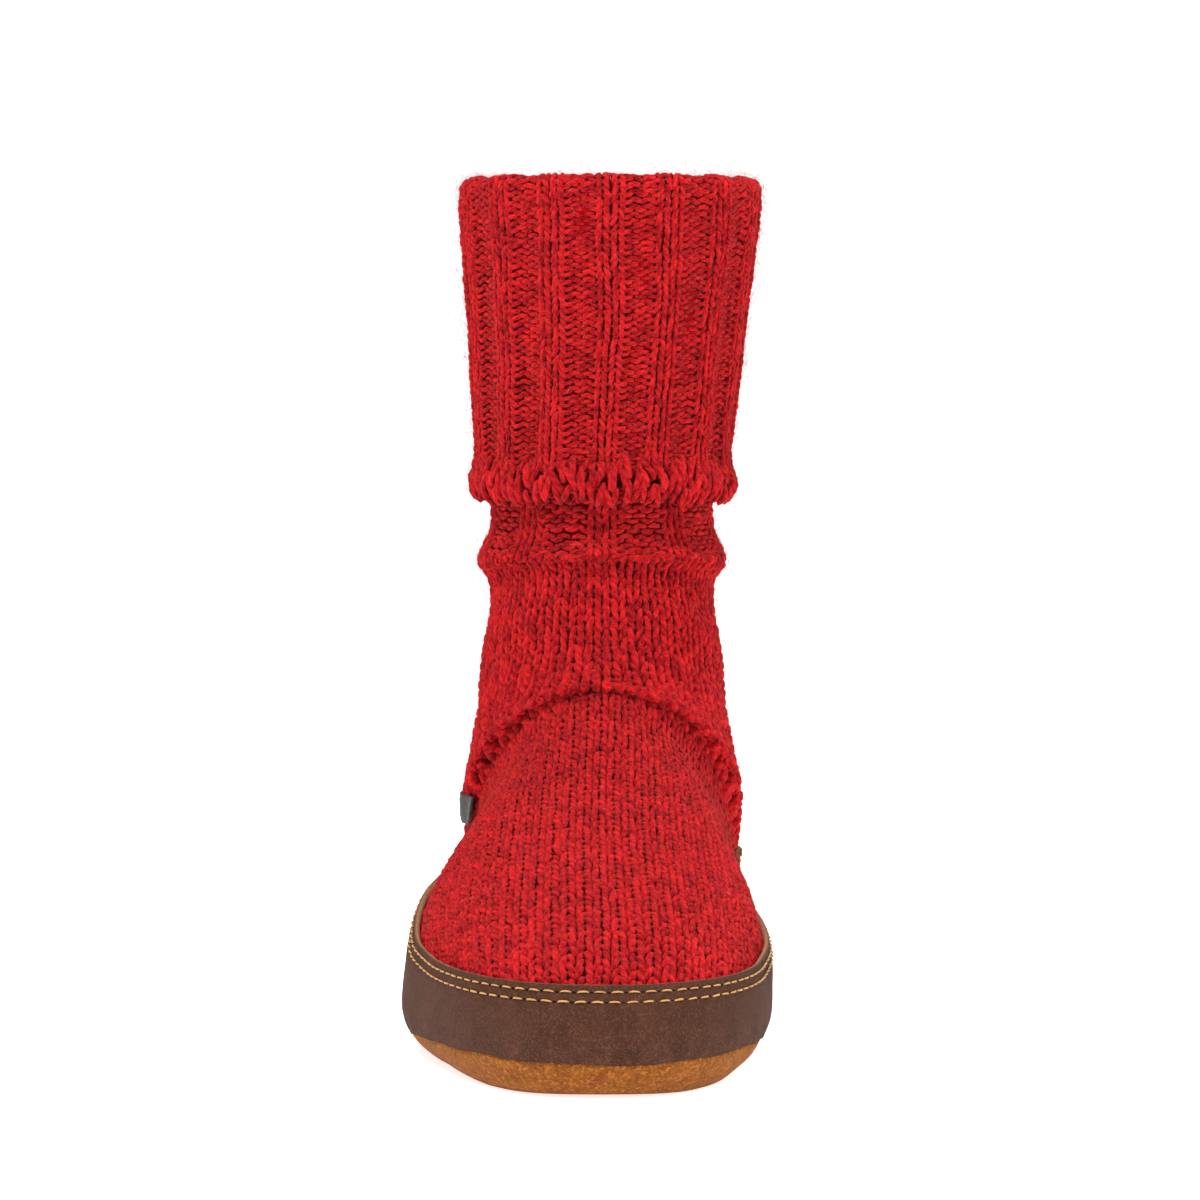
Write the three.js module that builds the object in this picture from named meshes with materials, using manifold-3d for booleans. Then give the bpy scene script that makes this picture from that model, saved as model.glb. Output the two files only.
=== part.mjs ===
import * as THREE from "three";
import { mergeVertices } from "three/addons/utils/BufferGeometryUtils.js";
import Module from "manifold-3d";

// A knitted slipper sock for the right foot, standing empty on its sole.
// Millimetres, Z up. The toe points to -Y, the heel to +Y, the inner (big toe) side to +X.

// Driving dimensions
const shoeLength = 268;
const ballWidth = 111;
const instepHeight = 106;
const heelWidth = 86;
const neckWidth = 70;
const rimWidth = 95;
const rimHeight = 262;
const cuffDepth = 103;
const knitWall = 3;
const cuffWall = 4.2;
const cuffSlot = 0.8;
const hemRoll = 2.4;
const hemRollHeight = 12;
const foldDepth = 4.6;
const bandThickness = 2;
const bandFrontHeight = 32.5;
const bandHeelHeight = 50;
const seamHeight = 8;
const soleThickness = 3;
const footbedThickness = 5;
const toeSpring = 1.5;
const archRise = 1.4;
const labelLength = 24;
const labelHeight = 10;
const labelThickness = 1.2;
const labelLift = 1.4;
const labelAt = 192;
const labelMiddle = 62;
const clearance = 0.3;

// Sizes that follow from them
const skin = clearance + bandThickness;
const knitLength = shoeLength - 2 * skin;
const halfBall = ballWidth / 2 - skin;
const halfHeel = heelWidth / 2 - skin;
const halfNeck = neckWidth / 2;
const halfRim = rimWidth / 2 - cuffWall - cuffSlot;
const legHeight = rimHeight - instepHeight;
const hemHeight = rimHeight - cuffDepth;
const toeY = -shoeLength / 2 + skin;

const columns = 36;
const roundness = 2;
const firstFoldRow = 12;
const groundSteps = 36;
const bandSteps = 20;
const bandStepsAcross = 6;

// The foot and ankle of the knit, one row for each section from the toe tip to the neck.
// Each section lies across the foot, from a point on the instep line to one on the sole or heel line.
// at: share of the knit's length. high: share of the instep height.
// middles: share of half the ball width, toward the inner side. ball, heel, neck: shares of those half widths.
// widest: share of the section's height, from below. square: how flat its lower half is.
const footColumns = [
  "topAt", "topHigh", "baseAt", "baseHigh", "topMiddle", "baseMiddle", "ball", "heel", "neck", "widest", "square",
];
const footTable = [
  [0, 0.17, 0, 0.17, 0, 0, 0, 0, 0, 0.5, 2],
  [0.003, 0.222, 0.003, 0.118, 0, 0, 0.15, 0, 0, 0.5, 2],
  [0.012, 0.264, 0.012, 0.075, 0, 0, 0.291, 0, 0, 0.5, 2.2],
  [0.029, 0.316, 0.029, 0.033, 0, -0.004, 0.423, 0, 0, 0.48, 2.5],
  [0.058, 0.373, 0.058, 0, 0, -0.006, 0.555, 0, 0, 0.45, 2.8],
  [0.101, 0.434, 0.101, -0.019, 0, -0.011, 0.686, 0, 0, 0.42, 3],
  [0.166, 0.505, 0.166, -0.028, -0.008, -0.024, 0.81, 0, 0, 0.37, 3],
  [0.249, 0.58, 0.249, -0.028, -0.016, -0.056, 0.907, 0, 0, 0.31, 3],
  [0.344, 0.665, 0.344, -0.028, -0.02, -0.1, 0.98, 0, 0, 0.27, 3],
  [0.435, 0.755, 0.477, -0.028, -0.016, -0.138, 0.97, 0, 0, 0.24, 3],
  [0.492, 0.825, 0.622, -0.028, -0.01, -0.118, 0.547, 0.45, 0, 0.24, 3],
  [0.534, 0.882, 0.762, -0.028, -0.004, -0.07, 0.232, 0.775, 0, 0.26, 2.9],
  [0.565, 0.929, 0.88, -0.024, -0.004, -0.025, 0, 1.015, 0, 0.3, 2.7],
  [0.585, 0.967, 0.952, 0.038, 0, 0, 0, 1.02, 0, 0.36, 2.5],
  [0.6, 1, 0.988, 0.16, 0, 0, 0, 1.01, 0, 0.42, 2.3],
  [0.612, 1.038, 0.999, 0.292, 0, 0, 0, 1.01, 0, 0.46, 2.2],
  [0.621, 1.08, 0.993, 0.453, 0, 0, 0, 0.785, 0.25, 0.48, 2.1],
  [0.629, 1.132, 0.973, 0.623, 0, 0, 0, 0.49, 0.565, 0.5, 2],
  [0.635, 1.193, 0.948, 0.811, 0, 0, 0, 0.245, 0.795, 0.5, 2],
  [0.64, 1.264, 0.929, 1, 0, 0, 0, 0.08, 0.925, 0.5, 2],
  [0.643, 1.33, 0.921, 1.189, 0, 0, 0, 0, 1.0, 0.5, 2],
];

// The leg above the ankle, one row for each level section up to the rim.
// high: share of the way from the instep to the rim. flare: share of the way from neck width to rim width.
// middle: share of half the ball width.
const legColumns = ["high", "flare", "middle"];
const legTable = [
  [0.27, 0, 0],
  [0.34, 0, 0],
  [0.42, 0.03, 0.004],
  [0.5, 0.17, 0.01],
  [0.58, 0.3, 0.018],
  [0.66, 0.43, 0.026],
  [0.74, 0.57, 0.033],
  [0.82, 0.72, 0.04],
  [0.91, 0.9, 0.046],
  [1, 1, 0.05],
];

// The soft folds of the slack leg.
// row: where the crease runs, counted in sections. above, below: how far the fold spreads, in sections.
// out: how far it stands off, and sag: how far it hangs, in shares of the fold depth.
// back: the share of the fold that reaches the back.
const foldColumns = ["row", "above", "below", "out", "sag", "back"];
const foldTable = [
  [14.15, 1.4, 0.42, 1, 1, 0.1],
  [16.9, 0.5, 0.5, -0.2, 0, 0.5],
  [18.4, 0.7, 0.6, 0.22, 0.09, 0.8],
  [20.65, 0.42, 0.42, 1.02, 0.57, 0.8],
];

// Height of the band's upper edge along the shoe.
// at: share of the shoe's length from the toe. outer, inner: share of the rise from toe to heel.
const bandColumns = ["at", "outer", "inner"];
const bandTable = [
  [-0.05, 0, 0],
  [0.22, 0, -0.04],
  [0.32, 0.12, 0.07],
  [0.39, 0.34, 0.19],
  [0.485, 0.71, 0.3],
  [0.58, 0.9, 0.46],
  [0.71, 0.98, 0.71],
  [1.05, 1, 1],
];

// Gives each row of a table its column names.
function named(names, table) {
  return table.map((row) => Object.fromEntries(names.map((name, i) => [name, row[i]])));
}

// A smooth value of every column between the rows of a table.
function between(rows, place) {
  const last = rows.length - 1;
  const start = Math.min(Math.max(Math.floor(place), 0), last - 1);
  const t = Math.min(Math.max(place - start, 0), 1);
  const pick = (i) => rows[Math.min(Math.max(i, 0), last)];
  const [a, b, c, d] = [pick(start - 1), pick(start), pick(start + 1), pick(start + 2)];
  const smooth = (name) =>
    b[name] +
    0.5 * t * (c[name] - a[name] +
      t * (2 * a[name] - 5 * b[name] + 4 * c[name] - d[name] +
        t * (3 * (b[name] - c[name]) + d[name] - a[name])));
  return Object.fromEntries(Object.keys(b).map((name) => [name, smooth(name)]));
}

// The sections in millimetres: the foot's, and then the leg's above them.
const footSections = named(footColumns, footTable).map((row) => ({
  topY: toeY + row.topAt * knitLength,
  topZ: row.topHigh * instepHeight,
  baseY: toeY + row.baseAt * knitLength,
  baseZ: row.baseHigh * instepHeight,
  topX: row.topMiddle * halfBall,
  baseX: row.baseMiddle * halfBall,
  half: row.ball * halfBall + row.heel * halfHeel + row.neck * halfNeck,
  widest: row.widest,
  square: row.square,
}));
const ankle = footSections[footSections.length - 1];
const legY = (ankle.topY + ankle.baseY) / 2;
const legSections = named(legColumns, legTable).map((row) => {
  const half = halfNeck + row.flare * (halfRim - halfNeck);
  const level = instepHeight + row.high * legHeight;
  return {
    topY: legY - half,
    topZ: level,
    baseY: legY + half,
    baseZ: level,
    topX: row.middle * halfBall,
    baseX: row.middle * halfBall,
    half,
    widest: 0.5,
    square: 2,
  };
});
const sections = [...footSections, ...legSections];
const lastRow = sections.length - 1;
const firstLegRow = footSections.length;
const folds = named(foldColumns, foldTable);

// How much of a fold shows at a place: a long swell above its crease, a short one below.
function foldShare(fold, row) {
  const off = row - fold.row;
  const reach = off > 0 ? fold.above : fold.below;
  return Math.exp(-((off / reach) ** 2));
}

// A point of the knit's outer face before its folds. turn: 0 on the instep line, 0.5 on the heel line.
function smoothPoint(turn, row) {
  const s = between(sections, row);
  const angle = turn * 2 * Math.PI;
  const up = Math.cos(angle);
  const side = Math.sin(angle);
  const power = s.square + (roundness - s.square) * (0.5 + 0.5 * up);
  const reach = (Math.abs(up) ** power + Math.abs(side) ** power) ** (-1 / power);
  const rise = s.widest + (up > 0 ? 1 - s.widest : s.widest) * reach * up;
  return new THREE.Vector3(
    THREE.MathUtils.lerp(s.baseX, s.topX, rise) + s.half * reach * side,
    THREE.MathUtils.lerp(s.baseY, s.topY, rise),
    THREE.MathUtils.lerp(s.baseZ, s.topZ, rise),
  );
}

// The outward direction of a surface given by a function of turn and row.
function outward(surface, turn, row) {
  if (row < 0.01) return new THREE.Vector3(0, -1, 0);
  const step = 0.01;
  const low = Math.max(row - step, 0.005);
  const high = Math.min(row + step, lastRow);
  const around = surface(turn + step, row).sub(surface(turn - step, row));
  const along = surface(turn, high).sub(surface(turn, low));
  return around.cross(along).normalize();
}

// The same point with its folds, as a share of their full depth. They fade out under the turned-down cuff.
function foldedPoint(turn, row, depth) {
  const point = smoothPoint(turn, row);
  const facing = outward(smoothPoint, turn, row);
  const front = 0.5 + 0.5 * Math.cos(turn * 2 * Math.PI);
  const slack = depth * THREE.MathUtils.clamp((hemHeight - point.z) / foldDepth, 0, 1);
  for (const fold of folds) {
    const share = foldDepth * foldShare(fold, row) * slack * THREE.MathUtils.lerp(fold.back, 1, front);
    point.addScaledVector(facing, fold.out * share);
    point.z -= fold.sag * share;
  }
  return point;
}

// Height of the ground line under the shoe's outer face: flat, with toe spring and arch.
function groundLine(y) {
  const at = (y + shoeLength / 2) / shoeLength;
  const spring = toeSpring * THREE.MathUtils.clamp((0.11 - at) / 0.09, 0, 1) ** 2;
  const arch = Math.sin(Math.PI * THREE.MathUtils.clamp((at - 0.46) / 0.26, 0, 1)) ** 2;
  return spring + archRise * arch;
}

// A point offset from the knit's outer face, kept above a floor that lies under it by the ground line.
function skinPoint(turn, row, offset, floor, depth = 1) {
  const surface = (t, r) => foldedPoint(t, r, depth);
  const point = surface(turn, row).addScaledVector(outward(surface, turn, row), offset);
  point.z = Math.max(point.z, floor + groundLine(point.y));
  return point;
}

// A closed body from a stack of rings, closed at both ends by a fan.
function stack(rings, closed = false) {
  const points = rings.flat();
  const size = rings[0].length;
  const faces = [];
  const joins = closed ? rings.length : rings.length - 1;
  for (let i = 0; i < joins; i++) {
    const low = i * size;
    const high = ((i + 1) % rings.length) * size;
    for (let j = 0; j < size; j++) {
      const k = (j + 1) % size;
      faces.push([low + j, low + k, high + k], [low + j, high + k, high + j]);
    }
  }
  if (!closed) {
    for (const [ring, start] of [[rings[0], 0], [rings[rings.length - 1], (rings.length - 1) * size]]) {
      const middle = ring.reduce((sum, p) => sum.add(p), new THREE.Vector3()).divideScalar(size);
      points.push(middle);
      for (let j = 0; j < size; j++) {
        const pair = [start + j, start + ((j + 1) % size)];
        faces.push([points.length - 1, ...(start === 0 ? pair.reverse() : pair)]);
      }
    }
  }
  const geometry = new THREE.BufferGeometry();
  geometry.setAttribute("position", new THREE.Float32BufferAttribute(points.flatMap((p) => p.toArray()), 3));
  geometry.setIndex(faces.flat());
  return geometry;
}

// One ring of the sock at a row.
function ring(row, offset, floor, depth) {
  return Array.from({ length: columns }, (_, j) => skinPoint(j / columns, row, offset, floor, depth));
}

// Rows for a stack of rings, from just behind the toe tip to a last row, closer over the folds.
function rowsTo(last, foldStep) {
  const rows = [0.12, 0.5];
  const folded = (row) => row >= firstFoldRow && row < firstLegRow + 1;
  for (let row = 1; row < last - 0.01; row += folded(row) ? foldStep : 1) rows.push(row);
  return [...rows, last];
}

// The sock's body at an offset outside the knit's outer face.
function sock(offset, floor, last) {
  return stack(rowsTo(last, 0.5).map((row) => ring(row, offset, floor, 1)));
}

// The hollow at a depth inside the knit's outer face, where the folds show less.
function hollow(inward, last) {
  return stack(rowsTo(last, 1).map((row) => ring(row, -inward, 0, 0.75)));
}

// The row of a level section of the leg at a height.
function rowAtHeight(height) {
  const share = (height - instepHeight) / legHeight;
  let i = 0;
  while (i < legTable.length - 2 && legTable[i + 1][0] < share) i++;
  const [low, high] = [legTable[i][0], legTable[i + 1][0]];
  return firstLegRow + i + (share - low) / (high - low);
}

// A level ring around the leg at a height, off the leg's outer face.
function legRing(height, offset) {
  return Array.from({ length: columns }, (_, j) => {
    const point = smoothPoint(j / columns, rowAtHeight(Math.min(height, rimHeight)));
    const away = new THREE.Vector3(point.x, point.y - legY, 0).normalize();
    point.addScaledVector(away, offset);
    point.z = height;
    return point;
  });
}

// The turned-down cuff with its rolled hem and round rim, as a filled body.
function cuffBody() {
  const full = cuffSlot + cuffWall;
  const hem = hemRollHeight;
  const profile = [
    [hemHeight, full + hemRoll * 0.2],
    [hemHeight + hem * 0.1, full + hemRoll * 0.75],
    [hemHeight + hem * 0.38, full + hemRoll],
    [hemHeight + hem * 0.72, full + hemRoll * 0.72],
    [hemHeight + hem, full],
  ];
  const straight = 7;
  const roundTop = cuffWall;
  const top = rimHeight - roundTop;
  for (let i = 1; i <= straight; i++) {
    profile.push([THREE.MathUtils.lerp(hemHeight + hem, top, i / straight), full]);
  }
  for (const angle of [30, 60, 85].map(THREE.MathUtils.degToRad)) {
    profile.push([top + roundTop * Math.sin(angle), full - roundTop * (1 - Math.cos(angle))]);
  }
  return stack(profile.map(([height, offset]) => legRing(height, offset)));
}

// The thin open space between the leg and its turned-down cuff.
function cuffGap() {
  const low = hemHeight - hemRollHeight;
  const high = rimHeight - 2 * cuffWall;
  const heights = [low, hemHeight + hemRollHeight, (hemHeight + high) / 2, high];
  const inside = heights.map((height) => legRing(height, 0));
  const outside = heights.map((height) => legRing(height, cuffSlot)).reverse();
  return stack([...outside, ...inside].reverse(), true);
}

// The hollow of the leg through the rim, from the row under it upwards, wider where the rim turns.
function collarBore() {
  const heights = [
    [rimHeight - 3 * cuffWall, -knitWall],
    [rimHeight - cuffWall, -knitWall],
    [rimHeight - cuffWall * 0.4, -knitWall * 0.8],
    [rimHeight + clearance, -knitWall * 0.1],
  ];
  return stack(heights.map(([height, offset]) => legRing(height, offset)));
}

// A closed block under a height that changes over the plan, down to a level floor.
function block(floor, height, lengthwise, across) {
  const side = ballWidth;
  const rows = [];
  for (let i = 0; i <= lengthwise; i++) {
    const at = THREE.MathUtils.lerp(-0.05, 1.05, i / lengthwise);
    const y = (at - 0.5) * shoeLength;
    const line = [];
    for (let j = 0; j <= across; j++) {
      const x = THREE.MathUtils.lerp(-side, side, j / across);
      line.push(new THREE.Vector3(x, y, height(x, at)));
    }
    line.push(new THREE.Vector3(side, y, floor), new THREE.Vector3(-side, y, floor));
    rows.push(line);
  }
  return stack(rows);
}

// Height of the band's upper edge over the plan.
const bandRows = named(bandColumns, bandTable);
function bandEdge(x, at) {
  let i = 0;
  while (i < bandRows.length - 2 && bandRows[i + 1].at < at) i++;
  const place = i + (at - bandRows[i].at) / (bandRows[i + 1].at - bandRows[i].at);
  const edge = between(bandRows, place);
  const inner = THREE.MathUtils.smoothstep(x, -halfBall * 0.7, halfBall * 0.7);
  const rise = THREE.MathUtils.lerp(edge.outer, edge.inner, inner);
  return bandFrontHeight + rise * (bandHeelHeight - bandFrontHeight);
}

const wasm = await Module();
wasm.setup();

// A solid for joining and cutting from a closed geometry.
function solid(geometry) {
  const bare = geometry.clone();
  bare.deleteAttribute("normal");
  bare.deleteAttribute("uv");
  const merged = mergeVertices(bare, 1e-4);
  return new wasm.Manifold(
    new wasm.Mesh({
      numProp: 3,
      vertProperties: merged.getAttribute("position").array,
      triVerts: new Uint32Array(merged.index.array),
    }),
  );
}

// A geometry from a solid, with flat-shaded normals.
function geometryOf(body) {
  const mesh = body.getMesh();
  const geometry = new THREE.BufferGeometry();
  geometry.setAttribute("position", new THREE.BufferAttribute(new Float32Array(mesh.vertProperties), 3));
  geometry.setIndex(new THREE.BufferAttribute(new Uint32Array(mesh.triVerts), 1));
  geometry.computeVertexNormals();
  return geometry;
}

// The last row of the parts that only wrap the foot, well above the band.
const footLast = 17;
const knitFloor = skin;
const seamBlock = () => solid(block(-skin, () => seamHeight - clearance / 2, 1, 1));
const groundBlock = (height) =>
  solid(block(-skin, (x, at) => height + groundLine((at - 0.5) * shoeLength), groundSteps, 1));

// The knit: foot, slack leg and turned-down cuff in one piece, open at the collar and underneath.
function makeUpper() {
  const inside = solid(hollow(knitWall, lastRow - 0.6));
  return solid(sock(0, knitFloor, rowAtHeight(rimHeight - cuffWall)))
    .add(solid(cuffBody()))
    .subtract(solid(cuffGap()))
    .subtract(inside)
    .subtract(solid(collarBore()))
    .subtract(groundBlock(soleThickness + clearance));
}

// The leather band around the foot.
function makeSidewall() {
  return solid(sock(skin, 0, footLast))
    .subtract(solid(sock(clearance, knitFloor - clearance, footLast)))
    .intersect(solid(block(seamHeight + clearance / 2, bandEdge, bandSteps, bandStepsAcross)));
}

// The soft sole: flat under the foot and turned up to meet the band.
function makeOutsole() {
  return solid(sock(skin, 0, footLast))
    .intersect(seamBlock())
    .subtract(solid(sock(clearance, knitFloor - clearance, footLast)).subtract(groundBlock(soleThickness)));
}

// The footbed inside.
function makeInsole() {
  const low = soleThickness + clearance;
  return solid(hollow(knitWall + clearance, footLast))
    .intersect(groundBlock(low + footbedThickness))
    .subtract(groundBlock(low));
}

// The turn and row of the knit's outer side at a distance along the shoe and a height.
function placeAt(y, z) {
  let best = { turn: 0.82, row: 12, miss: Infinity };
  for (let reach = 1; reach > 0.001; reach *= 0.6) {
    const { turn, row } = best;
    for (const dt of [-0.06, -0.03, 0, 0.03, 0.06]) {
      for (const dr of [-2, -1, 0, 1, 2]) {
        const spot = { turn: turn + dt * reach, row: row + dr * reach };
        const point = smoothPoint(spot.turn, spot.row);
        const miss = Math.hypot(point.y - y, point.z - z);
        if (miss < best.miss) best = { ...spot, miss };
      }
    }
  }
  return best;
}

// The bare woven tag on the outer side: a small strip along the knit, its front end lifted.
function makeLabel() {
  const across = 3;
  const lengthwise = 6;
  const front = -shoeLength / 2 + labelAt;
  const rings = [];
  for (let i = 0; i <= lengthwise; i++) {
    const t = i / lengthwise;
    const lift = 1.5 * clearance + labelLift * (1 - t) ** 2;
    const line = (offset) =>
      Array.from({ length: across + 1 }, (_, j) => {
        const height = labelMiddle + labelHeight * (j / across - 0.5);
        const { turn, row } = placeAt(front + labelLength * t, height);
        return skinPoint(turn, row, offset, 0);
      });
    rings.push([...line(lift + labelThickness), ...line(lift).reverse()]);
  }
  return solid(stack(rings));
}

// Adds one sub-part to the slipper sock with its own finish.
const slipperSock = new THREE.Group();
function addPart(name, body, color, roughness) {
  const material = new THREE.MeshStandardMaterial({ color, roughness, metalness: 0 });
  const mesh = new THREE.Mesh(geometryOf(body), material);
  mesh.name = name;
  slipperSock.add(mesh);
}

addPart("upper", makeUpper(), "#b3141f", 0.95);
addPart("sidewall", makeSidewall(), "#5b3b2e", 0.65);
addPart("outsole", makeOutsole(), "#a86630", 0.9);
addPart("insole", makeInsole(), "#b9a88a", 0.9);
addPart("side_label", makeLabel(), "#3a3f3d", 0.8);

// The origin is the middle of the underside.
const box = new THREE.Box3().setFromObject(slipperSock);
const middle = box.getCenter(new THREE.Vector3());
slipperSock.position.set(-middle.x, -middle.y, -box.min.z);

export default slipperSock;
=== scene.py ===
"""A knitted slipper sock for the right foot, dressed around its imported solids.

The knit's smooth shape is worked out from the same named sizes and sections as the solids. Real yarn
stitches, a leather band with two rows of stitching, a napped suede sole and a footbed are laid on it.
Lengths are millimetres until a mesh is made; Blender gets metres.
"""

import logging
import math
from collections.abc import Callable
from dataclasses import dataclass, field
from enum import Enum
from functools import partial

import bpy
import numpy as np
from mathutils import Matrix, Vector
from mathutils.bvhtree import BVHTree


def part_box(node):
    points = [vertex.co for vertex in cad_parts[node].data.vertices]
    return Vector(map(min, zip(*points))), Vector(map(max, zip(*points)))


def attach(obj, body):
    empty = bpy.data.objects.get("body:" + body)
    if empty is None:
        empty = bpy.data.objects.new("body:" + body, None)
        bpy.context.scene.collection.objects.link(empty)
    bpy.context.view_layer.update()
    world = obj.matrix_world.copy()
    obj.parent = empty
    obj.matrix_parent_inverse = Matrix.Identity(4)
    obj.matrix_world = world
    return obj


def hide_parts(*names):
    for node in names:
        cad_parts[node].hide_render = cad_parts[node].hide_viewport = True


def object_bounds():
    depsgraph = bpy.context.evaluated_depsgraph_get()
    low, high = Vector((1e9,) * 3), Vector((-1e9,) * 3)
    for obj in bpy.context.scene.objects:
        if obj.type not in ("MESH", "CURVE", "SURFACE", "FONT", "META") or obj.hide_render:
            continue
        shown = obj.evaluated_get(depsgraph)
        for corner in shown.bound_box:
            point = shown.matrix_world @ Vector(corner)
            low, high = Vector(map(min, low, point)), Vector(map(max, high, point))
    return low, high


MM = 0.001
TURN = 2 * math.pi
# Rows of a lattice to one course of stitches.
FINE = 4
BODY = "root"
# The order of a face's corners that turns it over and keeps its first.
BACKWARD = [0, 3, 2, 1]
LOG = logging.getLogger("slipper")
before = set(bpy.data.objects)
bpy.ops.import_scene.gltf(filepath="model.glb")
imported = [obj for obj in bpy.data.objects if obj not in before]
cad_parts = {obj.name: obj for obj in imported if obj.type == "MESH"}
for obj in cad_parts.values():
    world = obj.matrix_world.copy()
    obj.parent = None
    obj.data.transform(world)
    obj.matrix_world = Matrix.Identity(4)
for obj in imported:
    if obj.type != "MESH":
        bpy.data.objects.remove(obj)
CAD_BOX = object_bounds()

Array = np.ndarray
Surface = Callable[[Array, Array], Array]
Colour = tuple[float, float, float, float]
Material = bpy.types.Material
Piece = bpy.types.Object
Group = bpy.types.NodeTree
Socket = bpy.types.NodeSocket
Value = Socket | float | tuple[float, ...]


class CuffPart(Enum):
    """The parts that the ribbed cuff is knitted in."""

    INSIDE = "inside_stitches"
    FRONT = "cuff_front_stitches"
    BACK = "cuff_back_stitches"


@dataclass(frozen=True)
class Sizes:
    """The slipper's driving sizes, as in its solids."""

    shoe_length: float = 268.0
    ball_width: float = 111.0
    instep_height: float = 106.0
    heel_width: float = 86.0
    neck_width: float = 70.0
    rim_width: float = 95.0
    rim_height: float = 262.0
    cuff_depth: float = 103.0
    knit_wall: float = 3.0
    cuff_wall: float = 4.2
    cuff_slot: float = 0.8
    hem_roll: float = 2.4
    hem_roll_height: float = 12.0
    fold_depth: float = 4.6
    band_thickness: float = 2.0
    band_front: float = 32.5
    band_heel: float = 50.0
    seam_height: float = 8.0
    sole_thickness: float = 3.0
    footbed: float = 5.0
    toe_spring: float = 1.5
    arch_rise: float = 1.4
    clearance: float = 0.3
    roundness: float = 2.0

    @property
    def skin(self) -> float:
        """Distance from the knit's outer face to the band's outer face."""
        return self.clearance + self.band_thickness

    @property
    def hem_height(self) -> float:
        """Height of the cuff's lower edge."""
        return self.rim_height - self.cuff_depth


# Columns: topAt, topHigh, baseAt, baseHigh, topMiddle, baseMiddle, ball, heel, neck, widest, square.
FOOT_TABLE = (
    (0, 0.17, 0, 0.17, 0, 0, 0, 0, 0, 0.5, 2),
    (0.003, 0.222, 0.003, 0.118, 0, 0, 0.15, 0, 0, 0.5, 2),
    (0.012, 0.264, 0.012, 0.075, 0, 0, 0.291, 0, 0, 0.5, 2.2),
    (0.029, 0.316, 0.029, 0.033, 0, -0.004, 0.423, 0, 0, 0.48, 2.5),
    (0.058, 0.373, 0.058, 0, 0, -0.006, 0.555, 0, 0, 0.45, 2.8),
    (0.101, 0.434, 0.101, -0.019, 0, -0.011, 0.686, 0, 0, 0.42, 3),
    (0.166, 0.505, 0.166, -0.028, -0.008, -0.024, 0.81, 0, 0, 0.37, 3),
    (0.249, 0.58, 0.249, -0.028, -0.016, -0.056, 0.907, 0, 0, 0.31, 3),
    (0.344, 0.665, 0.344, -0.028, -0.02, -0.1, 0.98, 0, 0, 0.27, 3),
    (0.435, 0.755, 0.477, -0.028, -0.016, -0.138, 0.97, 0, 0, 0.24, 3),
    (0.492, 0.825, 0.622, -0.028, -0.01, -0.118, 0.547, 0.45, 0, 0.24, 3),
    (0.534, 0.882, 0.762, -0.028, -0.004, -0.07, 0.232, 0.775, 0, 0.26, 2.9),
    (0.565, 0.929, 0.88, -0.024, -0.004, -0.025, 0, 1.015, 0, 0.3, 2.7),
    (0.585, 0.967, 0.952, 0.038, 0, 0, 0, 1.02, 0, 0.36, 2.5),
    (0.6, 1, 0.988, 0.16, 0, 0, 0, 1.01, 0, 0.42, 2.3),
    (0.612, 1.038, 0.999, 0.292, 0, 0, 0, 1.01, 0, 0.46, 2.2),
    (0.621, 1.08, 0.993, 0.453, 0, 0, 0, 0.785, 0.25, 0.48, 2.1),
    (0.629, 1.132, 0.973, 0.623, 0, 0, 0, 0.49, 0.565, 0.5, 2),
    (0.635, 1.193, 0.948, 0.811, 0, 0, 0, 0.245, 0.795, 0.5, 2),
    (0.64, 1.264, 0.929, 1, 0, 0, 0, 0.08, 0.925, 0.5, 2),
    (0.643, 1.33, 0.921, 1.189, 0, 0, 0, 0, 1.0, 0.5, 2),
)
# Columns: high, flare, middle.
LEG_TABLE = (
    (0.27, 0, 0),
    (0.34, 0, 0),
    (0.42, 0.03, 0.004),
    (0.5, 0.17, 0.01),
    (0.58, 0.3, 0.018),
    (0.66, 0.43, 0.026),
    (0.74, 0.57, 0.033),
    (0.82, 0.72, 0.04),
    (0.91, 0.9, 0.046),
    (1, 1, 0.05),
)
# Columns: row, above, below, out, sag, back.
FOLD_TABLE = (
    (14.15, 1.4, 0.42, 1, 1, 0.1),
    (16.9, 0.5, 0.5, -0.2, 0, 0.5),
    (18.4, 0.7, 0.6, 0.22, 0.09, 0.8),
    (20.65, 0.42, 0.42, 1.02, 0.57, 0.8),
)
# Columns: at, outer, inner.
BAND_TABLE = (
    (-0.05, 0, 0),
    (0.22, 0, -0.04),
    (0.32, 0.12, 0.07),
    (0.39, 0.34, 0.19),
    (0.485, 0.71, 0.3),
    (0.58, 0.9, 0.46),
    (0.71, 0.98, 0.71),
    (1.05, 1, 1),
)


def between(rows: Array, place: Array) -> Array:
    """Smooth values between the rows of a table.

    Args:
        rows: The table, one row per section.
        place: Where to read it, counted in rows.

    Returns:
        One row of values for each place.
    """
    last = len(rows) - 1
    start = np.clip(np.floor(place).astype(int), 0, last - 1)
    t = np.clip(place - start, 0, 1)[..., None]
    a, b, c, d = (rows[np.clip(start + i, 0, last)] for i in (-1, 0, 1, 2))
    return b + 0.5 * t * (c - a + t * (2 * a - 5 * b + 4 * c - d + t * (3 * (b - c) + d - a)))


def unit(vectors: Array) -> Array:
    """The same vectors at length one."""
    return vectors / np.maximum(np.linalg.norm(vectors, axis=-1, keepdims=True), 1e-9)


def travelled(points: Array) -> Array:
    """Distance run along a line of points.

    Args:
        points: The line, or lines side by side along the second axis.

    Returns:
        The distance from the first point to each.
    """
    steps = np.linalg.norm(np.diff(points, axis=0), axis=-1)
    return np.concatenate([np.zeros_like(steps[:1]), np.cumsum(steps, 0)])


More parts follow.
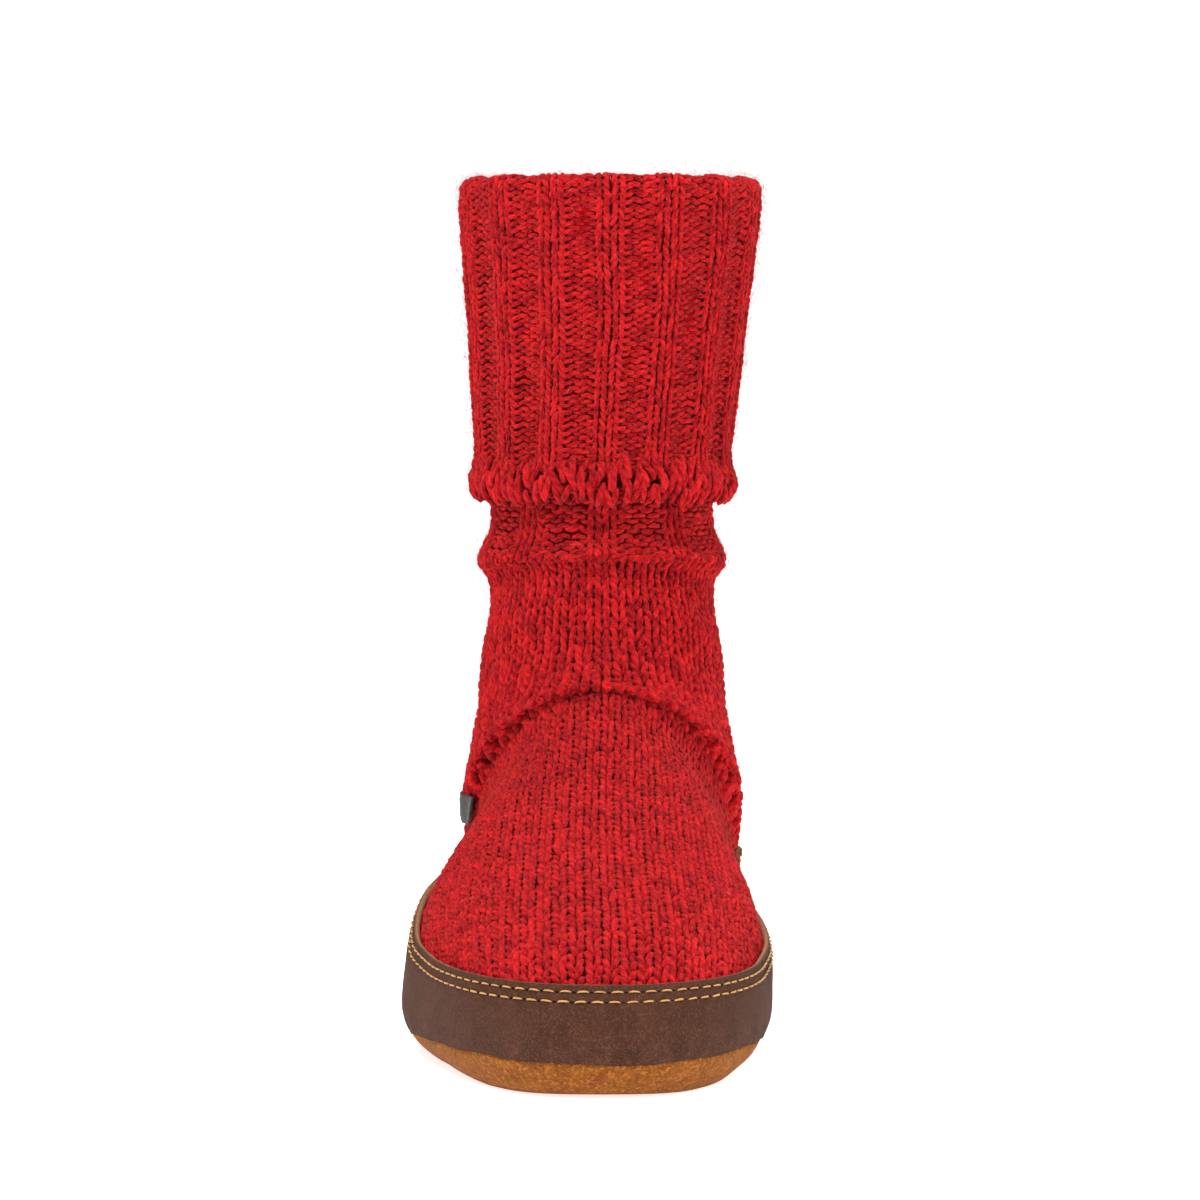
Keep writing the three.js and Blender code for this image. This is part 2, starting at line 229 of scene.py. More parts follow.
def sampled(at: Array, length: Array, data: Array, **ends: float) -> Array:
    """Values read off a line at distances along it.

    Args:
        at: The distances.
        length: The distance of each point of the line.
        data: Three values for each point of the line.
        ends: Values past the ends, named left and right, where they aren't the ends' own.

    Returns:
        Three values for each distance.
    """
    return np.stack([np.interp(at, length, data[:, c], **ends) for c in range(3)], -1)


def ring_faces(rings: int, around: int, loop: bool = False) -> Array:
    """Faces of four corners between closed rings of points.

    Args:
        rings: How many rings.
        around: Points in a ring.
        loop: Whether the last ring joins the first.

    Returns:
        The faces, ring after ring.
    """
    i, j = np.meshgrid(np.arange(rings if loop else rings - 1), np.arange(around), indexing="ij")
    i2, k = (i + 1) % rings, (j + 1) % around
    return np.stack([i * around + j, i2 * around + j, i2 * around + k, i * around + k], -1).reshape(-1, 4)


def settle(node: bpy.types.Node, values: dict[str, object]) -> None:
    """Sets a node's own values by the names of its sockets."""
    for key, value in values.items():
        node.inputs[key].default_value = value


@dataclass
class Last:
    """The smooth shape of the knit, from the toe tip to the rim, with its soft folds."""

    sizes: Sizes = field(default_factory=Sizes)

    def __post_init__(self) -> None:
        """Works the sections out in millimetres, in the solids' own frame."""
        s = self.sizes
        self.toe_y = -s.shoe_length / 2 + s.skin
        length = s.shoe_length - 2 * s.skin
        self.half_ball = s.ball_width / 2 - s.skin
        half_heel = s.heel_width / 2 - s.skin
        half_neck = s.neck_width / 2
        half_rim = s.rim_width / 2 - s.cuff_wall - s.cuff_slot
        foot = np.array(FOOT_TABLE, float)
        half = foot[:, 6] * self.half_ball + foot[:, 7] * half_heel + foot[:, 8] * half_neck
        foot_rows = np.column_stack([
            self.toe_y + foot[:, 0] * length, foot[:, 1] * s.instep_height,
            self.toe_y + foot[:, 2] * length, foot[:, 3] * s.instep_height,
            foot[:, 4] * self.half_ball, foot[:, 5] * self.half_ball, half, foot[:, 9], foot[:, 10],
        ])
        self.leg_y = (foot_rows[-1, 0] + foot_rows[-1, 2]) / 2
        leg = np.array(LEG_TABLE, float)
        leg_half = half_neck + leg[:, 1] * (half_rim - half_neck)
        level = s.instep_height + leg[:, 0] * (s.rim_height - s.instep_height)
        middle = leg[:, 2] * self.half_ball
        leg_rows = np.column_stack([
            self.leg_y - leg_half, level, self.leg_y + leg_half, level, middle, middle, leg_half,
            np.full(len(leg), 0.5), np.full(len(leg), 2.0),
        ])
        self.rows = np.vstack([foot_rows, leg_rows])
        self.first_leg = len(foot_rows)
        self.last_row = len(self.rows) - 1
        self.leg_share = leg[:, 0]
        self.band = np.array(BAND_TABLE, float)
        self.shift = np.zeros(3)
        self.shift = self.frame_shift()

    def frame_shift(self) -> Array:
        """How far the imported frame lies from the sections' own frame, read from the band's box.

        Returns:
            The shift; heights need none.
        """
        rows = np.concatenate([[0.12, 0.5], np.arange(1, 12), np.arange(12, 17, 0.5)])
        turns = np.arange(36) / 36
        points = self.skin_points(*np.meshgrid(turns, rows), self.sizes.skin)
        inside = (points[..., 2] > self.sizes.seam_height) & (points[..., 2] < self.sizes.band_heel)
        own = points[inside]
        low, high = (np.array(corner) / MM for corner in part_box("sidewall"))
        shift = (low + high) / 2 - (own.min(0) + own.max(0)) / 2
        shift[2] = 0.0
        return shift

    def smooth(self, turn: Array, row: Array) -> Array:
        """Points of the knit's outer face before its folds.

        Args:
            turn: 0 on the instep line, 0.25 on the inner side, 0.5 on the heel line.
            row: The section, counted from the toe.

        Returns:
            Points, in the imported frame.
        """
        turn, row = np.broadcast_arrays(np.asarray(turn, float), np.asarray(row, float))
        s = between(self.rows, row)
        up, side = np.cos(turn * TURN), np.sin(turn * TURN)
        power = s[..., 8] + (self.sizes.roundness - s[..., 8]) * (0.5 + 0.5 * up)
        reach = (np.abs(up) ** power + np.abs(side) ** power) ** (-1 / power)
        rise = s[..., 7] + np.where(up > 0, 1 - s[..., 7], s[..., 7]) * reach * up
        x = s[..., 5] + (s[..., 4] - s[..., 5]) * rise + s[..., 6] * reach * side
        y = s[..., 2] + (s[..., 0] - s[..., 2]) * rise
        z = s[..., 3] + (s[..., 1] - s[..., 3]) * rise
        return np.stack([x, y, z], -1) + self.shift

    def facing(self, surface: Surface, turn: Array, row: Array) -> Array:
        """The outward directions of a surface.

        Args:
            surface: A function from turn and row to points.
            turn: The way round, as for smooth.
            row: The section.

        Returns:
            One direction for each place.
        """
        turn, row = np.broadcast_arrays(np.asarray(turn, float), np.asarray(row, float))
        step = 0.01
        low, high = np.maximum(row - step, 0.005), np.minimum(row + step, self.last_row)
        around = surface(turn + step, row) - surface(turn - step, row)
        along = surface(turn, high) - surface(turn, low)
        out = unit(np.cross(around, along))
        out[row < 0.01] = (0, -1, 0)
        return out

    def folded(self, turn: Array, row: Array, depth: float | Array = 1.0) -> Array:
        """Points of the knit's outer face with its folds.

        Args:
            turn: The way round, as for smooth.
            row: The section.
            depth: Share of the folds' full depth.

        Returns:
            Points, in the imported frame.
        """
        turn, row = np.broadcast_arrays(np.asarray(turn, float), np.asarray(row, float))
        points = self.smooth(turn, row)
        out = self.facing(self.smooth, turn, row)
        front = 0.5 + 0.5 * np.cos(turn * TURN)
        s = self.sizes
        slack = s.fold_depth * depth * np.clip((s.hem_height - points[..., 2]) / s.fold_depth, 0, 1)
        for crease, above, below, off, sag, back in FOLD_TABLE:
            away = row - crease
            share = np.exp(-((away / np.where(away > 0, above, below)) ** 2))
            share = (share * slack * (back + (1 - back) * front))[..., None]
            points = points + out * off * share - np.array([0, 0, sag]) * share
        return points

    def ground(self, y: Array) -> Array:
        """Height of the underside: flat, with toe spring and arch.

        Args:
            y: Distance along the shoe.

        Returns:
            The height at each distance.
        """
        at = (y - self.shift[1] + self.sizes.shoe_length / 2) / self.sizes.shoe_length
        spring = self.sizes.toe_spring * np.clip((0.11 - at) / 0.09, 0, 1) ** 2
        arch = np.sin(math.pi * np.clip((at - 0.46) / 0.26, 0, 1)) ** 2
        return spring + self.sizes.arch_rise * arch

    def skin_points(self, turn: Array, row: Array, offset: float, depth: float = 1.0) -> Array:
        """Points at an offset outside the knit's outer face, kept above the ground line.

        Args:
            turn: The way round, as for smooth.
            row: The section.
            offset: Distance outward.
            depth: Share of the folds' full depth.

        Returns:
            Points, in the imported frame.
        """
        surface = partial(self.folded, depth=depth)
        points = surface(turn, row) + self.facing(surface, turn, row) * offset
        floor = self.sizes.skin - offset + self.ground(points[..., 1])
        points[..., 2] = np.maximum(points[..., 2], floor)
        return points

    def row_at(self, height: Array) -> Array:
        """The leg's row at a height.

        Args:
            height: The height of a level section.

        Returns:
            Its row.
        """
        s = self.sizes
        share = (np.asarray(height) - s.instep_height) / (s.rim_height - s.instep_height)
        return self.first_leg + np.interp(share, self.leg_share, np.arange(len(self.leg_share)))

    def leg_points(self, turn: Array, height: Array, offset: Array) -> tuple[Array, Array]:
        """Points off the leg's outer face.

        Args:
            turn: The way round, as for smooth.
            height: Their heights.
            offset: Distances outward.

        Returns:
            The points, and the level directions away from the leg's middle.
        """
        capped = np.minimum(height, self.sizes.rim_height)
        points = self.smooth(turn, self.row_at(capped))
        away = points - np.array([self.shift[0], self.leg_y + self.shift[1], 0])
        away[..., 2] = 0
        away = unit(away)
        points = points + away * np.asarray(offset)[..., None]
        points[..., 2] = height
        return points, away

    def band_edge(self, x: Array, y: Array) -> Array:
        """Height of the band's upper edge over the plan.

        Args:
            x: Distance across the shoe.
            y: Distance along it.

        Returns:
            The height over each place.
        """
        at = (y - self.shift[1]) / self.sizes.shoe_length + 0.5
        place = np.interp(at, self.band[:, 0], np.arange(len(self.band)))
        edge = between(self.band, place)
        reach = self.half_ball * 0.7
        t = np.clip((x - self.shift[0] + reach) / (2 * reach), 0, 1)
        inner = t * t * (3 - 2 * t)
        rise = edge[..., 1] + (edge[..., 2] - edge[..., 1]) * inner
        return self.sizes.band_front + rise * (self.sizes.band_heel - self.sizes.band_front)


@dataclass
class MeshBuilder:
    """Collects points, faces and point values, and makes one Blender object of them."""

    name: str
    points: list[Array] = field(default_factory=list)
    faces: list[Array] = field(default_factory=list)
    values: dict[str, list[Array]] = field(default_factory=dict)
    count: int = 0

    def add(self, points: Array, faces: list[Array], **values: Array) -> None:
        """Adds a set of points.

        Args:
            points: The points, in millimetres.
            faces: Arrays of faces, counted from the set's first point.
            values: Named values, three for each point.
        """
        self.points.append(points.reshape(-1, 3))
        self.faces.extend(f + self.count for f in faces)
        for key, value in values.items():
            self.values.setdefault(key, []).append(value.reshape(-1, 3))
        self.count += self.points[-1].shape[0]

    def build(self, slot: str, material: Material, *nodes: str) -> Piece:
        """Makes the object, and says what it rides on and what it replaces.

        Args:
            slot: The record's material slot. It is not used.
            material: The finish.
            nodes: The solids that it stands for.

        Returns:
            The new object.
        """
        mesh = bpy.data.meshes.new(self.name)
        points = np.concatenate(self.points) * MM
        mesh.vertices.add(len(points))
        mesh.vertices.foreach_set("co", points.astype(np.float32).ravel())
        sizes = np.concatenate([np.full(len(f), f.shape[1]) for f in self.faces])
        corners = np.concatenate([f.ravel() for f in self.faces])
        mesh.loops.add(len(corners))
        mesh.loops.foreach_set("vertex_index", corners.astype(np.int32))
        mesh.polygons.add(len(sizes))
        starts = np.concatenate([[0], np.cumsum(sizes)[:-1]])
        mesh.polygons.foreach_set("loop_start", starts.astype(np.int32))
        mesh.polygons.foreach_set("use_smooth", np.ones(len(sizes), bool))
        for key, parts in self.values.items():
            layer = mesh.attributes.new(key, "FLOAT_VECTOR", "POINT")
            layer.data.foreach_set("vector", np.concatenate(parts).astype(np.float32).ravel())
        mesh.update()
        mesh.validate()
        piece = bpy.data.objects.new(self.name, mesh)
        bpy.context.scene.collection.objects.link(piece)
        mesh.materials.append(material)
        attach(piece, BODY)
        if nodes:
            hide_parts(*nodes)
        LOG.info("%s: %d triangles", self.name, (sizes - 2).sum())
        return piece


def yarn_bodies(
    paths: Array, radii: Array, out: Array, sides: int, flat: float = 1.0
) -> tuple[Array, list[Array], Array]:
    """Closed tapered bodies along many short paths.

    Args:
        paths: Paths, bodies by steps by 3. Each body comes to a point at both ends.
        radii: Radii at the steps, bodies by steps.
        out: The outward direction of each body.
        sides: Sides of the section.
        flat: Height of the section over its width.

    Returns:
        Points, faces, and for each point its strand place: cosine, sine, millimetres along.
    """
    bodies, steps = paths.shape[:2]
    tangent = unit(np.gradient(paths, axis=1))
    side = unit(np.cross(tangent, out[:, None, :]))
    rise = np.cross(side, tangent)
    along = travelled(paths.transpose(1, 0, 2)).T
    angle = np.arange(sides) * TURN / sides
    inner = slice(1, steps - 1)
    r = radii[:, inner, None, None]
    ring = side[:, inner, None] * np.cos(angle)[:, None]
    ring = (ring + rise[:, inner, None] * (np.sin(angle) * flat)[:, None]) * r
    rings = (paths[:, inner, None] + ring).reshape(bodies, -1, 3)
    points = np.concatenate([rings, paths[:, :1], paths[:, -1:]], 1)
    strand = np.zeros_like(points)
    n = (steps - 2) * sides
    strand[:, :n, 0] = np.tile(np.cos(angle), steps - 2)
    strand[:, :n, 1] = np.tile(np.sin(angle), steps - 2)
    strand[:, :n, 2] = np.repeat(along[:, inner], sides, 1)
    strand[:, n, 2], strand[:, n + 1, 2] = along[:, 0], along[:, -1]
    base = np.arange(bodies)[:, None] * (n + 2)
    k = np.arange(sides)
    k2 = (k + 1) % sides
    levels = [base + i * sides for i in range(steps - 2)]
    quads = [np.stack([low + k, low + k2, high + k2, high + k], -1) for low, high in zip(levels, levels[1:])]
    end = (steps - 3) * sides
    first = np.stack([base + k2, base + k, np.broadcast_to(base + n, (bodies, sides))], -1)
    last = np.stack([base + end + k, base + end + k2, np.broadcast_to(base + n + 1, (bodies, sides))], -1)
    faces = [block.reshape(-1, block.shape[-1])[:, ::-1] for block in (*quads, first, last)]
    return points, faces, strand


@dataclass
class Lattice:
    """A field of stitches: FINE rows to a course by wales, with places, outward directions and faces."""

    place: Array
    out: Array
    shown: Array
    purl: Array

    def courses(self) -> Array:
        """The places that a stitch sits on.

        Returns:
            A mask over rows and wales.
        """
        rows = np.zeros(len(self.place), bool)
        rows[FINE:-FINE:FINE] = True
        return rows[:, None] & self.shown

    def trace(self, rows: Array, wales: Array) -> tuple[Array, Array, Array]:
        """Places, one wale across and outward directions along wales at fractional rows.

        Args:
            rows: Rows, stitches by steps.
            wales: The wale of each stitch.

        Returns:
            Three arrays, stitches by steps by 3.
        """
        rows = np.clip(rows, 0, len(self.place) - 1.001)
        low = rows.astype(int)
        share = (rows - low)[..., None]
        column = wales[:, None]
        across = np.gradient(self.place, axis=1)
        place, side, out = (data[low, column] * (1 - share) + data[low + 1, column] * share
                            for data in (self.place, across, self.out))
        return place, side, unit(out)


@dataclass
class YarnLook:
    """The yarn's section in a stitch, and how uneven it is."""

    flat: float = 0.85
    uneven: float = 0.08
    sides: int = 5


# Steps of one stitch of the band's thread: height over the leather, radius share.
THREAD_STEPS = np.array([(-0.75, 0.5), (0.05, 0.95), (0.3, 1), (0.3, 1), (0.05, 0.95), (-0.75, 0.5)])
# Steps of the dark body that paints one needle hole's shade: distance along the seam, depth, radius.
HOLE_STEPS = np.array([
    (0.62, 0.5, 0.1), (0.4, 0.3, 0.26), (0, 0.24, 0.31), (-0.4, 0.3, 0.26), (-0.62, 0.5, 0.1),
])
# Levels of the sole's rings at its side, from its upper edge down, before they are fitted to the band.
SOLE_LEVELS = (7.8, 6.6, 5.4, 4.3, 3.3, 2.4, 1.6, 1.0, 0.55, 0.25)
# Columns: share of the way in from the footbed's edge, height over its underside.
FOOTBED_PROFILE = (
    (0.9, 0), (0.3, 0), (0.08, 0), (0.03, 1.2), (0.0, 3.0), (0.01, 4.4),
    (0.04, 4.9), (0.1, 5.0), (0.4, 4.8), (0.7, 4.7), (0.9, 4.7),
)
# Width of a wale of the foot: distances from the toe, and the widths there.
WALE_PITCH = (25, 60, 110, 150), (5.0, 4.8, 4.45, 4.35)
# Steps of one leg of a knit stitch: across, down (in courses), out (in yarn radii), radius share.
KNIT_LEG = np.array([
    (0.41, 0.98, -1.5, 0.4),
    (0.37, 0.6, -0.25, 0.9),
    (0.3, 0.2, 0.25, 1.0),
    (0.21, -0.22, 0.35, 1.0),
    (0.13, -0.65, -0.05, 0.9),
    (0.08, -1.02, -1.5, 0.4),
])
# Steps of the two short arcs of a purl stitch.
PURL_HEAD = np.array([
    (-0.55, 0.2, -1.3, 0.45),
    (-0.33, 0.0, 0.1, 0.95),
    (0.0, -0.12, 0.45, 1.05),
    (0.33, 0.0, 0.1, 0.95),
    (0.55, 0.2, -1.3, 0.45),
])
PURL_FOOT = np.array([
    (-0.05, 0.14, -1.3, 0.45),
    (0.18, 0.34, 0.0, 0.95),
    (0.5, 0.45, 0.3, 1.05),
    (0.82, 0.34, 0.0, 0.95),
    (1.05, 0.14, -1.3, 0.45),
])


@dataclass
class StitchMaker:
    """Lays real yarn stitches on lattices and gathers them in one mesh."""

    name: str
    seed: int
    loose: float = 1.0
    look: YarnLook = field(default_factory=YarnLook)

    def __post_init__(self) -> None:
        """Starts an empty mesh and its own random numbers."""
        self.mesh = MeshBuilder(self.name)
        self.random = np.random.default_rng(self.seed)
        self.crest: list[Array] = []
        self.crest_out: list[Array] = []

    def lay(self, lattice: Lattice, thick: float, purl_thick: float, apex: int) -> None:
        """Adds the stitches of a lattice.

        Args:
            lattice: Where they lie.
            thick: Radius of the yarn, in wales.
            purl_thick: Radius of a purl arc over that of a leg.
            apex: 1 where the legs meet toward the first course, -1 where they meet toward the last.
        """
        shown = lattice.courses()
        knit = shown & ~lattice.purl
        purl = shown & lattice.purl
        feet = purl | (np.roll(purl, -1, 1) & shown)
        turned = np.array([1, apex, 1, 1])
        mirrored = np.array([-1, 1, 1, 1])
        for mask, templates, scale in (
            (knit, (KNIT_LEG * turned, KNIT_LEG * turned * mirrored), 1.0),
            (purl, (PURL_HEAD,), purl_thick),
            (feet, (PURL_FOOT,), purl_thick),
        ):
            if mask.any():
                for template in templates:
                    self.bodies(lattice, mask, template, thick * scale)

    def bodies(self, lattice: Lattice, mask: Array, template: Array, thick: float) -> None:
        """Adds one yarn body per stitch of a mask, along a template of steps.

        Args:
            lattice: The field of stitches.
            mask: Which of its places get a body.
            template: Steps: across, down, out, radius share.
            thick: Radius of the yarn, in wales.
        """
        rows, wales = np.nonzero(mask)
        n = len(rows)
        jitter = self.random.normal(size=(n, 3)) * np.array([0.03, 0.07, 0.1]) * self.loose
        stretch = 1 + 0.08 * self.loose * self.random.normal(size=(n, 1))
        lean = 0.05 * self.loose * self.random.normal(size=(n, 1))
        v = template[None, :, 1] * stretch + jitter[:, 1:2]
        u = template[None, :, 0] + jitter[:, :1] + lean * v
        h = template[None, :, 2] + jitter[:, 2:]
        place, across, away = lattice.trace(rows[:, None] + v * FINE, wales)
        middle = len(template) // 2
        r = thick * np.linalg.norm(across[:, middle], axis=1)
        r = r * (1 + self.look.uneven * self.random.normal(size=n))
        paths = place + across * u[..., None] + away * (h * r[:, None])[..., None]
        radii = template[None, :, 3] * r[:, None]
        out = away[:, middle]
        points, faces, strand = yarn_bodies(paths, radii, out, self.look.sides, self.look.flat)
        heather = np.repeat(self.random.random((n, 1, 3)), points.shape[1], 1)
        self.mesh.add(points, faces, strand=strand, heather=heather)
        self.crest.append(paths[:, middle] + out * (radii[:, middle] * 0.8)[:, None])
        self.crest_out.append(out)


@dataclass
class Knit:
    """The knitted sock: cloth under the stitches, ribbed cuff, slack leg, heel and foot."""

    last: Last
    rib_wales: int = 60
    rib_course: float = 2.2
    leg_wales: int = 45
    leg_course: float = 3.0
    foot_course: float = 3.3
    mitre_row: float = 13.4
    rib_row: float = 20.75
    hem_wales: int = 46
    foot_half: int = 24
    yarn_depth: float = 0.9
    inner_depth: float = 46.0
    rib_relief: float = 0.75
    rib_sway: float = 0.16
    rim_turn: float = 4.0
    rim_droop: float = 0.9
    hem_course: float = 4.0
    hem_sway: float = 0.5
    roll_row: float = 14.2
    valley_row: float = 15.5
    rim_steps: int = 13
    inside_steps: int = 30
    outside_steps: int = 60
    hem_line_steps: int = 120
    hem_gap: float = 0.4
    below_hem: float = 9.0
    under_band: float = 5.0
    leg_steps: int = 700
    foot_reach: float = 0.44
    foot_turns: int = 353
    foot_rows: int = 500
    seed: int = 5
    cloth_cuff_depth: float = 2.5
    cloth_turns: int = 96
    cloth_depth: float = 2.3
    cloth_wall: float = 0.8

    def cuff_profile(self, depth: float) -> tuple[Array, Array]:
        """Height and offset along the turned-down cuff, from inside the leg over the rim to the hem.

        Args:
            depth: How far the line lies under the cuff's faces.

        Returns:
            Heights, and offsets from the leg's outer face.
        """
        s = self.last.sizes
        full = s.cuff_slot + s.cuff_wall
        inner, outer = -s.knit_wall + depth, full - depth
        radius = (outer - inner) / 2
        top = s.rim_height - depth - radius
        angle = np.linspace(0, math.pi, self.rim_steps)
        up = np.linspace(s.rim_height - self.inner_depth, top, self.inside_steps)[:-1]
        heights = [up, top + radius * np.sin(angle)]
        offsets = [np.full(len(up), inner), (inner + outer) / 2 - radius * np.cos(angle)]
        hem = s.hem_height + s.hem_roll_height * 0.72
        down = np.linspace(top, hem, self.outside_steps)[1:]
        bulge = s.hem_roll * 0.6 * np.exp(-(((down - hem) / 5.0) ** 2))
        return np.concatenate([*heights, down]), np.concatenate([*offsets, outer + bulge])

    def rib_wave(self, wale: Array) -> Array:
        """How far the ribs stand out: +1 on knit pairs, -1 on purl pairs."""
        return np.tanh(2.2 * np.cos((wale - 0.5) * TURN / 4)) / np.tanh(2.2)

    def ring_lattice(
        self, height: Array, offset: Array, wales: int, course: float, sway: float
    ) -> tuple[Lattice, Array, Array]:
        """A lattice around the leg along a profile.

        Args:
            height: Heights along the profile.
            offset: Offsets from the leg's outer face along the profile.
            wales: Wales around the leg.
            course: Length of one course.
            sway: How far the wales wander, in wales.

        Returns:
            The lattice, the wales' numbers and the courses' distances along the profile.
        """
        length = travelled(np.column_stack([height, offset]))
        at = np.linspace(0, length[-1], FINE * int(length[-1] / course))
        wale = np.arange(-1, wales + 1)
        course_height = np.interp(at, length, height)
        course_offset = np.interp(at, length, offset)
        rng = np.random.default_rng(self.seed)
        wander = self.low_wave(rng, at[:, None] / 34.0, wale[None, :] * TURN / wales) * sway
        turn = (wale[None, :] - 0.5 + wander) / wales
        lift = self.low_wave(rng, at[:, None] / 21.0, 2 * wale[None, :] * TURN / wales) * 0.22 * sway / 0.16
        h = np.broadcast_to(course_height[:, None], turn.shape)
        place, away = self.last.leg_points(turn, h, course_offset[:, None] + lift)
        slope = np.gradient(course_height)[:, None, None], np.gradient(course_offset)[:, None, None]
        out = unit(away * -slope[0] + np.array([0, 0, 1.0]) * slope[1])
        shown = np.zeros(turn.shape, bool)
        shown[1:-1, 1:-1] = True
        return Lattice(place, out, shown, np.zeros(turn.shape, bool)), wale, at

    def cuff_lattice(self, part: CuffPart) -> Lattice:
        """Stitches of the cuff, two knit and two purl in turn.

        Args:
            part: Which part of the cuff.

        Returns:
            Its lattice.
        """
        height, offset = self.cuff_profile(self.yarn_depth)
        lattice, wale, at = self.ring_lattice(height, offset, self.rib_wales, self.rib_course, self.rib_sway)
        from_rim = np.abs(at - self.inner_depth - self.rim_turn)[:, None]
        relief = self.rib_relief * self.rib_wave(wale)[None, :] - 0.2
        relief = relief * np.clip(from_rim / 10, 0.3, 1)
        lattice.place = lattice.place + lattice.out * relief[..., None]
        near = np.clip(1 - from_rim / 16, 0, 1)
        lattice.place[..., 2] -= self.rim_droop * near * np.sin(wale * TURN / self.rib_wales)[None, :] ** 4
        knit = np.mod(wale, 4) < 2
        within = at[:, None] < self.inner_depth
        lattice.purl = np.where(within, knit[None, :], ~knit[None, :])
        front = (np.abs(np.mod(wale / self.rib_wales + 0.5, 1) - 0.5) < 0.25)[None, :]
        chosen = {CuffPart.INSIDE: within, CuffPart.FRONT: ~within & front, CuffPart.BACK: ~within & ~front}
        lattice.shown = lattice.shown & chosen[part]
        return lattice

    def hem_lattice(self) -> Lattice:
        """Thick loose stitches of the rolled hem, down over the roll and up behind it.

        Returns:
            Their lattice.
        """
        s = self.last.sizes
        full, roll, hem = s.cuff_slot + s.cuff_wall, s.hem_roll, s.hem_height
        profile = np.array([
            (16.8, -1.2), (14.6, -0.9), (12.4, 0.1 * roll), (10.0, 0.75 * roll), (7.4, 0.95 * roll),
            (4.8, 0.75 * roll), (2.6, 0.3 * roll), (1.0, -0.3), (0.4, -1.6), (1.2, -2.8), (3.6, -3.4),
        ])
        fine = np.linspace(0, len(profile) - 1, self.hem_line_steps)
        line = between(profile, fine)
        height, offset = hem + line[:, 0], full - self.hem_gap + line[:, 1]
        return self.ring_lattice(height, offset, self.hem_wales, self.hem_course, self.hem_sway)[0]

    @staticmethod
    def low_wave(rng: np.random.Generator, down: Array, around: Array) -> Array:
        """A slow random wave over a field, between about -1 and 1.

        Args:
            rng: Where its random numbers come from.
            down: Angles down the field.
            around: Angles around it.

        Returns:
            The wave's values.
        """
        total = 0.0
        for k in range(1, 5):
            a, b = rng.normal(size=2)
            wave = a * np.sin(k * around + 1.7 * down * k) + b * np.cos(k * around - down * k)
            total = total + wave / (k + 1)
        return total

    def leg_lattice(self) -> Lattice:
        """Stitches of the neck, ankle and heel: wales run down the leg, courses lie across them.

        Returns:
            Their lattice.
        """
        first = float(self.last.row_at(self.last.sizes.hem_height + self.below_hem))
        rows = np.linspace(first, self.mitre_row - 1.6, self.leg_steps)
        wale = np.arange(-1, self.leg_wales + 1)
        turns = (wale + 0.5) / self.leg_wales
        front = (0.5 + 0.5 * np.cos(turns * TURN)) ** 3
        roll = np.exp(-(((rows - self.roll_row) / 0.7) ** 2))[:, None]
        valley = np.exp(-(((rows - self.valley_row) / 0.6) ** 2))[:, None]
        depth = 1 + (0.75 * front - 0.1) * roll - 0.6 * front * valley
        points = self.soften(self.last.folded(*np.meshgrid(turns, rows), depth), 3)
        length = travelled(points)
        courses = int(length.max() / self.leg_course)
        at = np.arange(courses * FINE) * self.leg_course / FINE
        row = np.stack([np.interp(at, length[:, j], rows) for j in range(len(turns))], 1)
        place = np.stack([sampled(at, length[:, j], points[:, j]) for j in range(len(turns))], 1)
        inside = at[:, None] < length[-1][None, :] - self.leg_course
        above = row > self.mitre_row + 0.25 * (1 - front[None, :]) - 0.2
        lattice = self.surface_lattice(place, inside & above)
        ribbed = np.isin(np.mod(wale, 5), (1, 2, 3))[None, :]
        lattice.purl = ribbed & (row > self.rib_row)
        return lattice

    @staticmethod
    def soften(points: Array, times: int) -> Array:
        """Points evened out along each wale, their ends kept.

        Args:
            points: The points, row by wale.
            times: How often.

        Returns:
            The evened points.
        """
        for _ in range(times):
            inner = (points[:-2] + 2 * points[1:-1] + points[2:]) / 4
            points = np.concatenate([points[:1], inner, points[-1:]])
        return points

    def surface_lattice(self, place: Array, shown: Array) -> Lattice:
        """A lattice on the knit's outer face, with stitches under the band left out.

        Args:
            place: The places, row by wale.
            shown: Where a stitch may show.

        Returns:
            The lattice.
        """
        across = np.gradient(place, axis=1)
        down = np.gradient(place, axis=0)
        out = unit(np.cross(down, across))
        middle = np.array([self.last.shift[0], self.last.leg_y, 0.0])
        if np.nanmean(np.sum(out * (place - middle), -1)) < 0:
            out = -out
        place = place - out * self.yarn_depth
        edge = self.last.band_edge(place[..., 0], place[..., 1])
        shown = shown & (place[..., 2] > edge - self.under_band)
        shown[0] = shown[-1] = False
        shown[:, 0] = shown[:, -1] = False
        return Lattice(place, out, shown, np.zeros(shown.shape, bool))

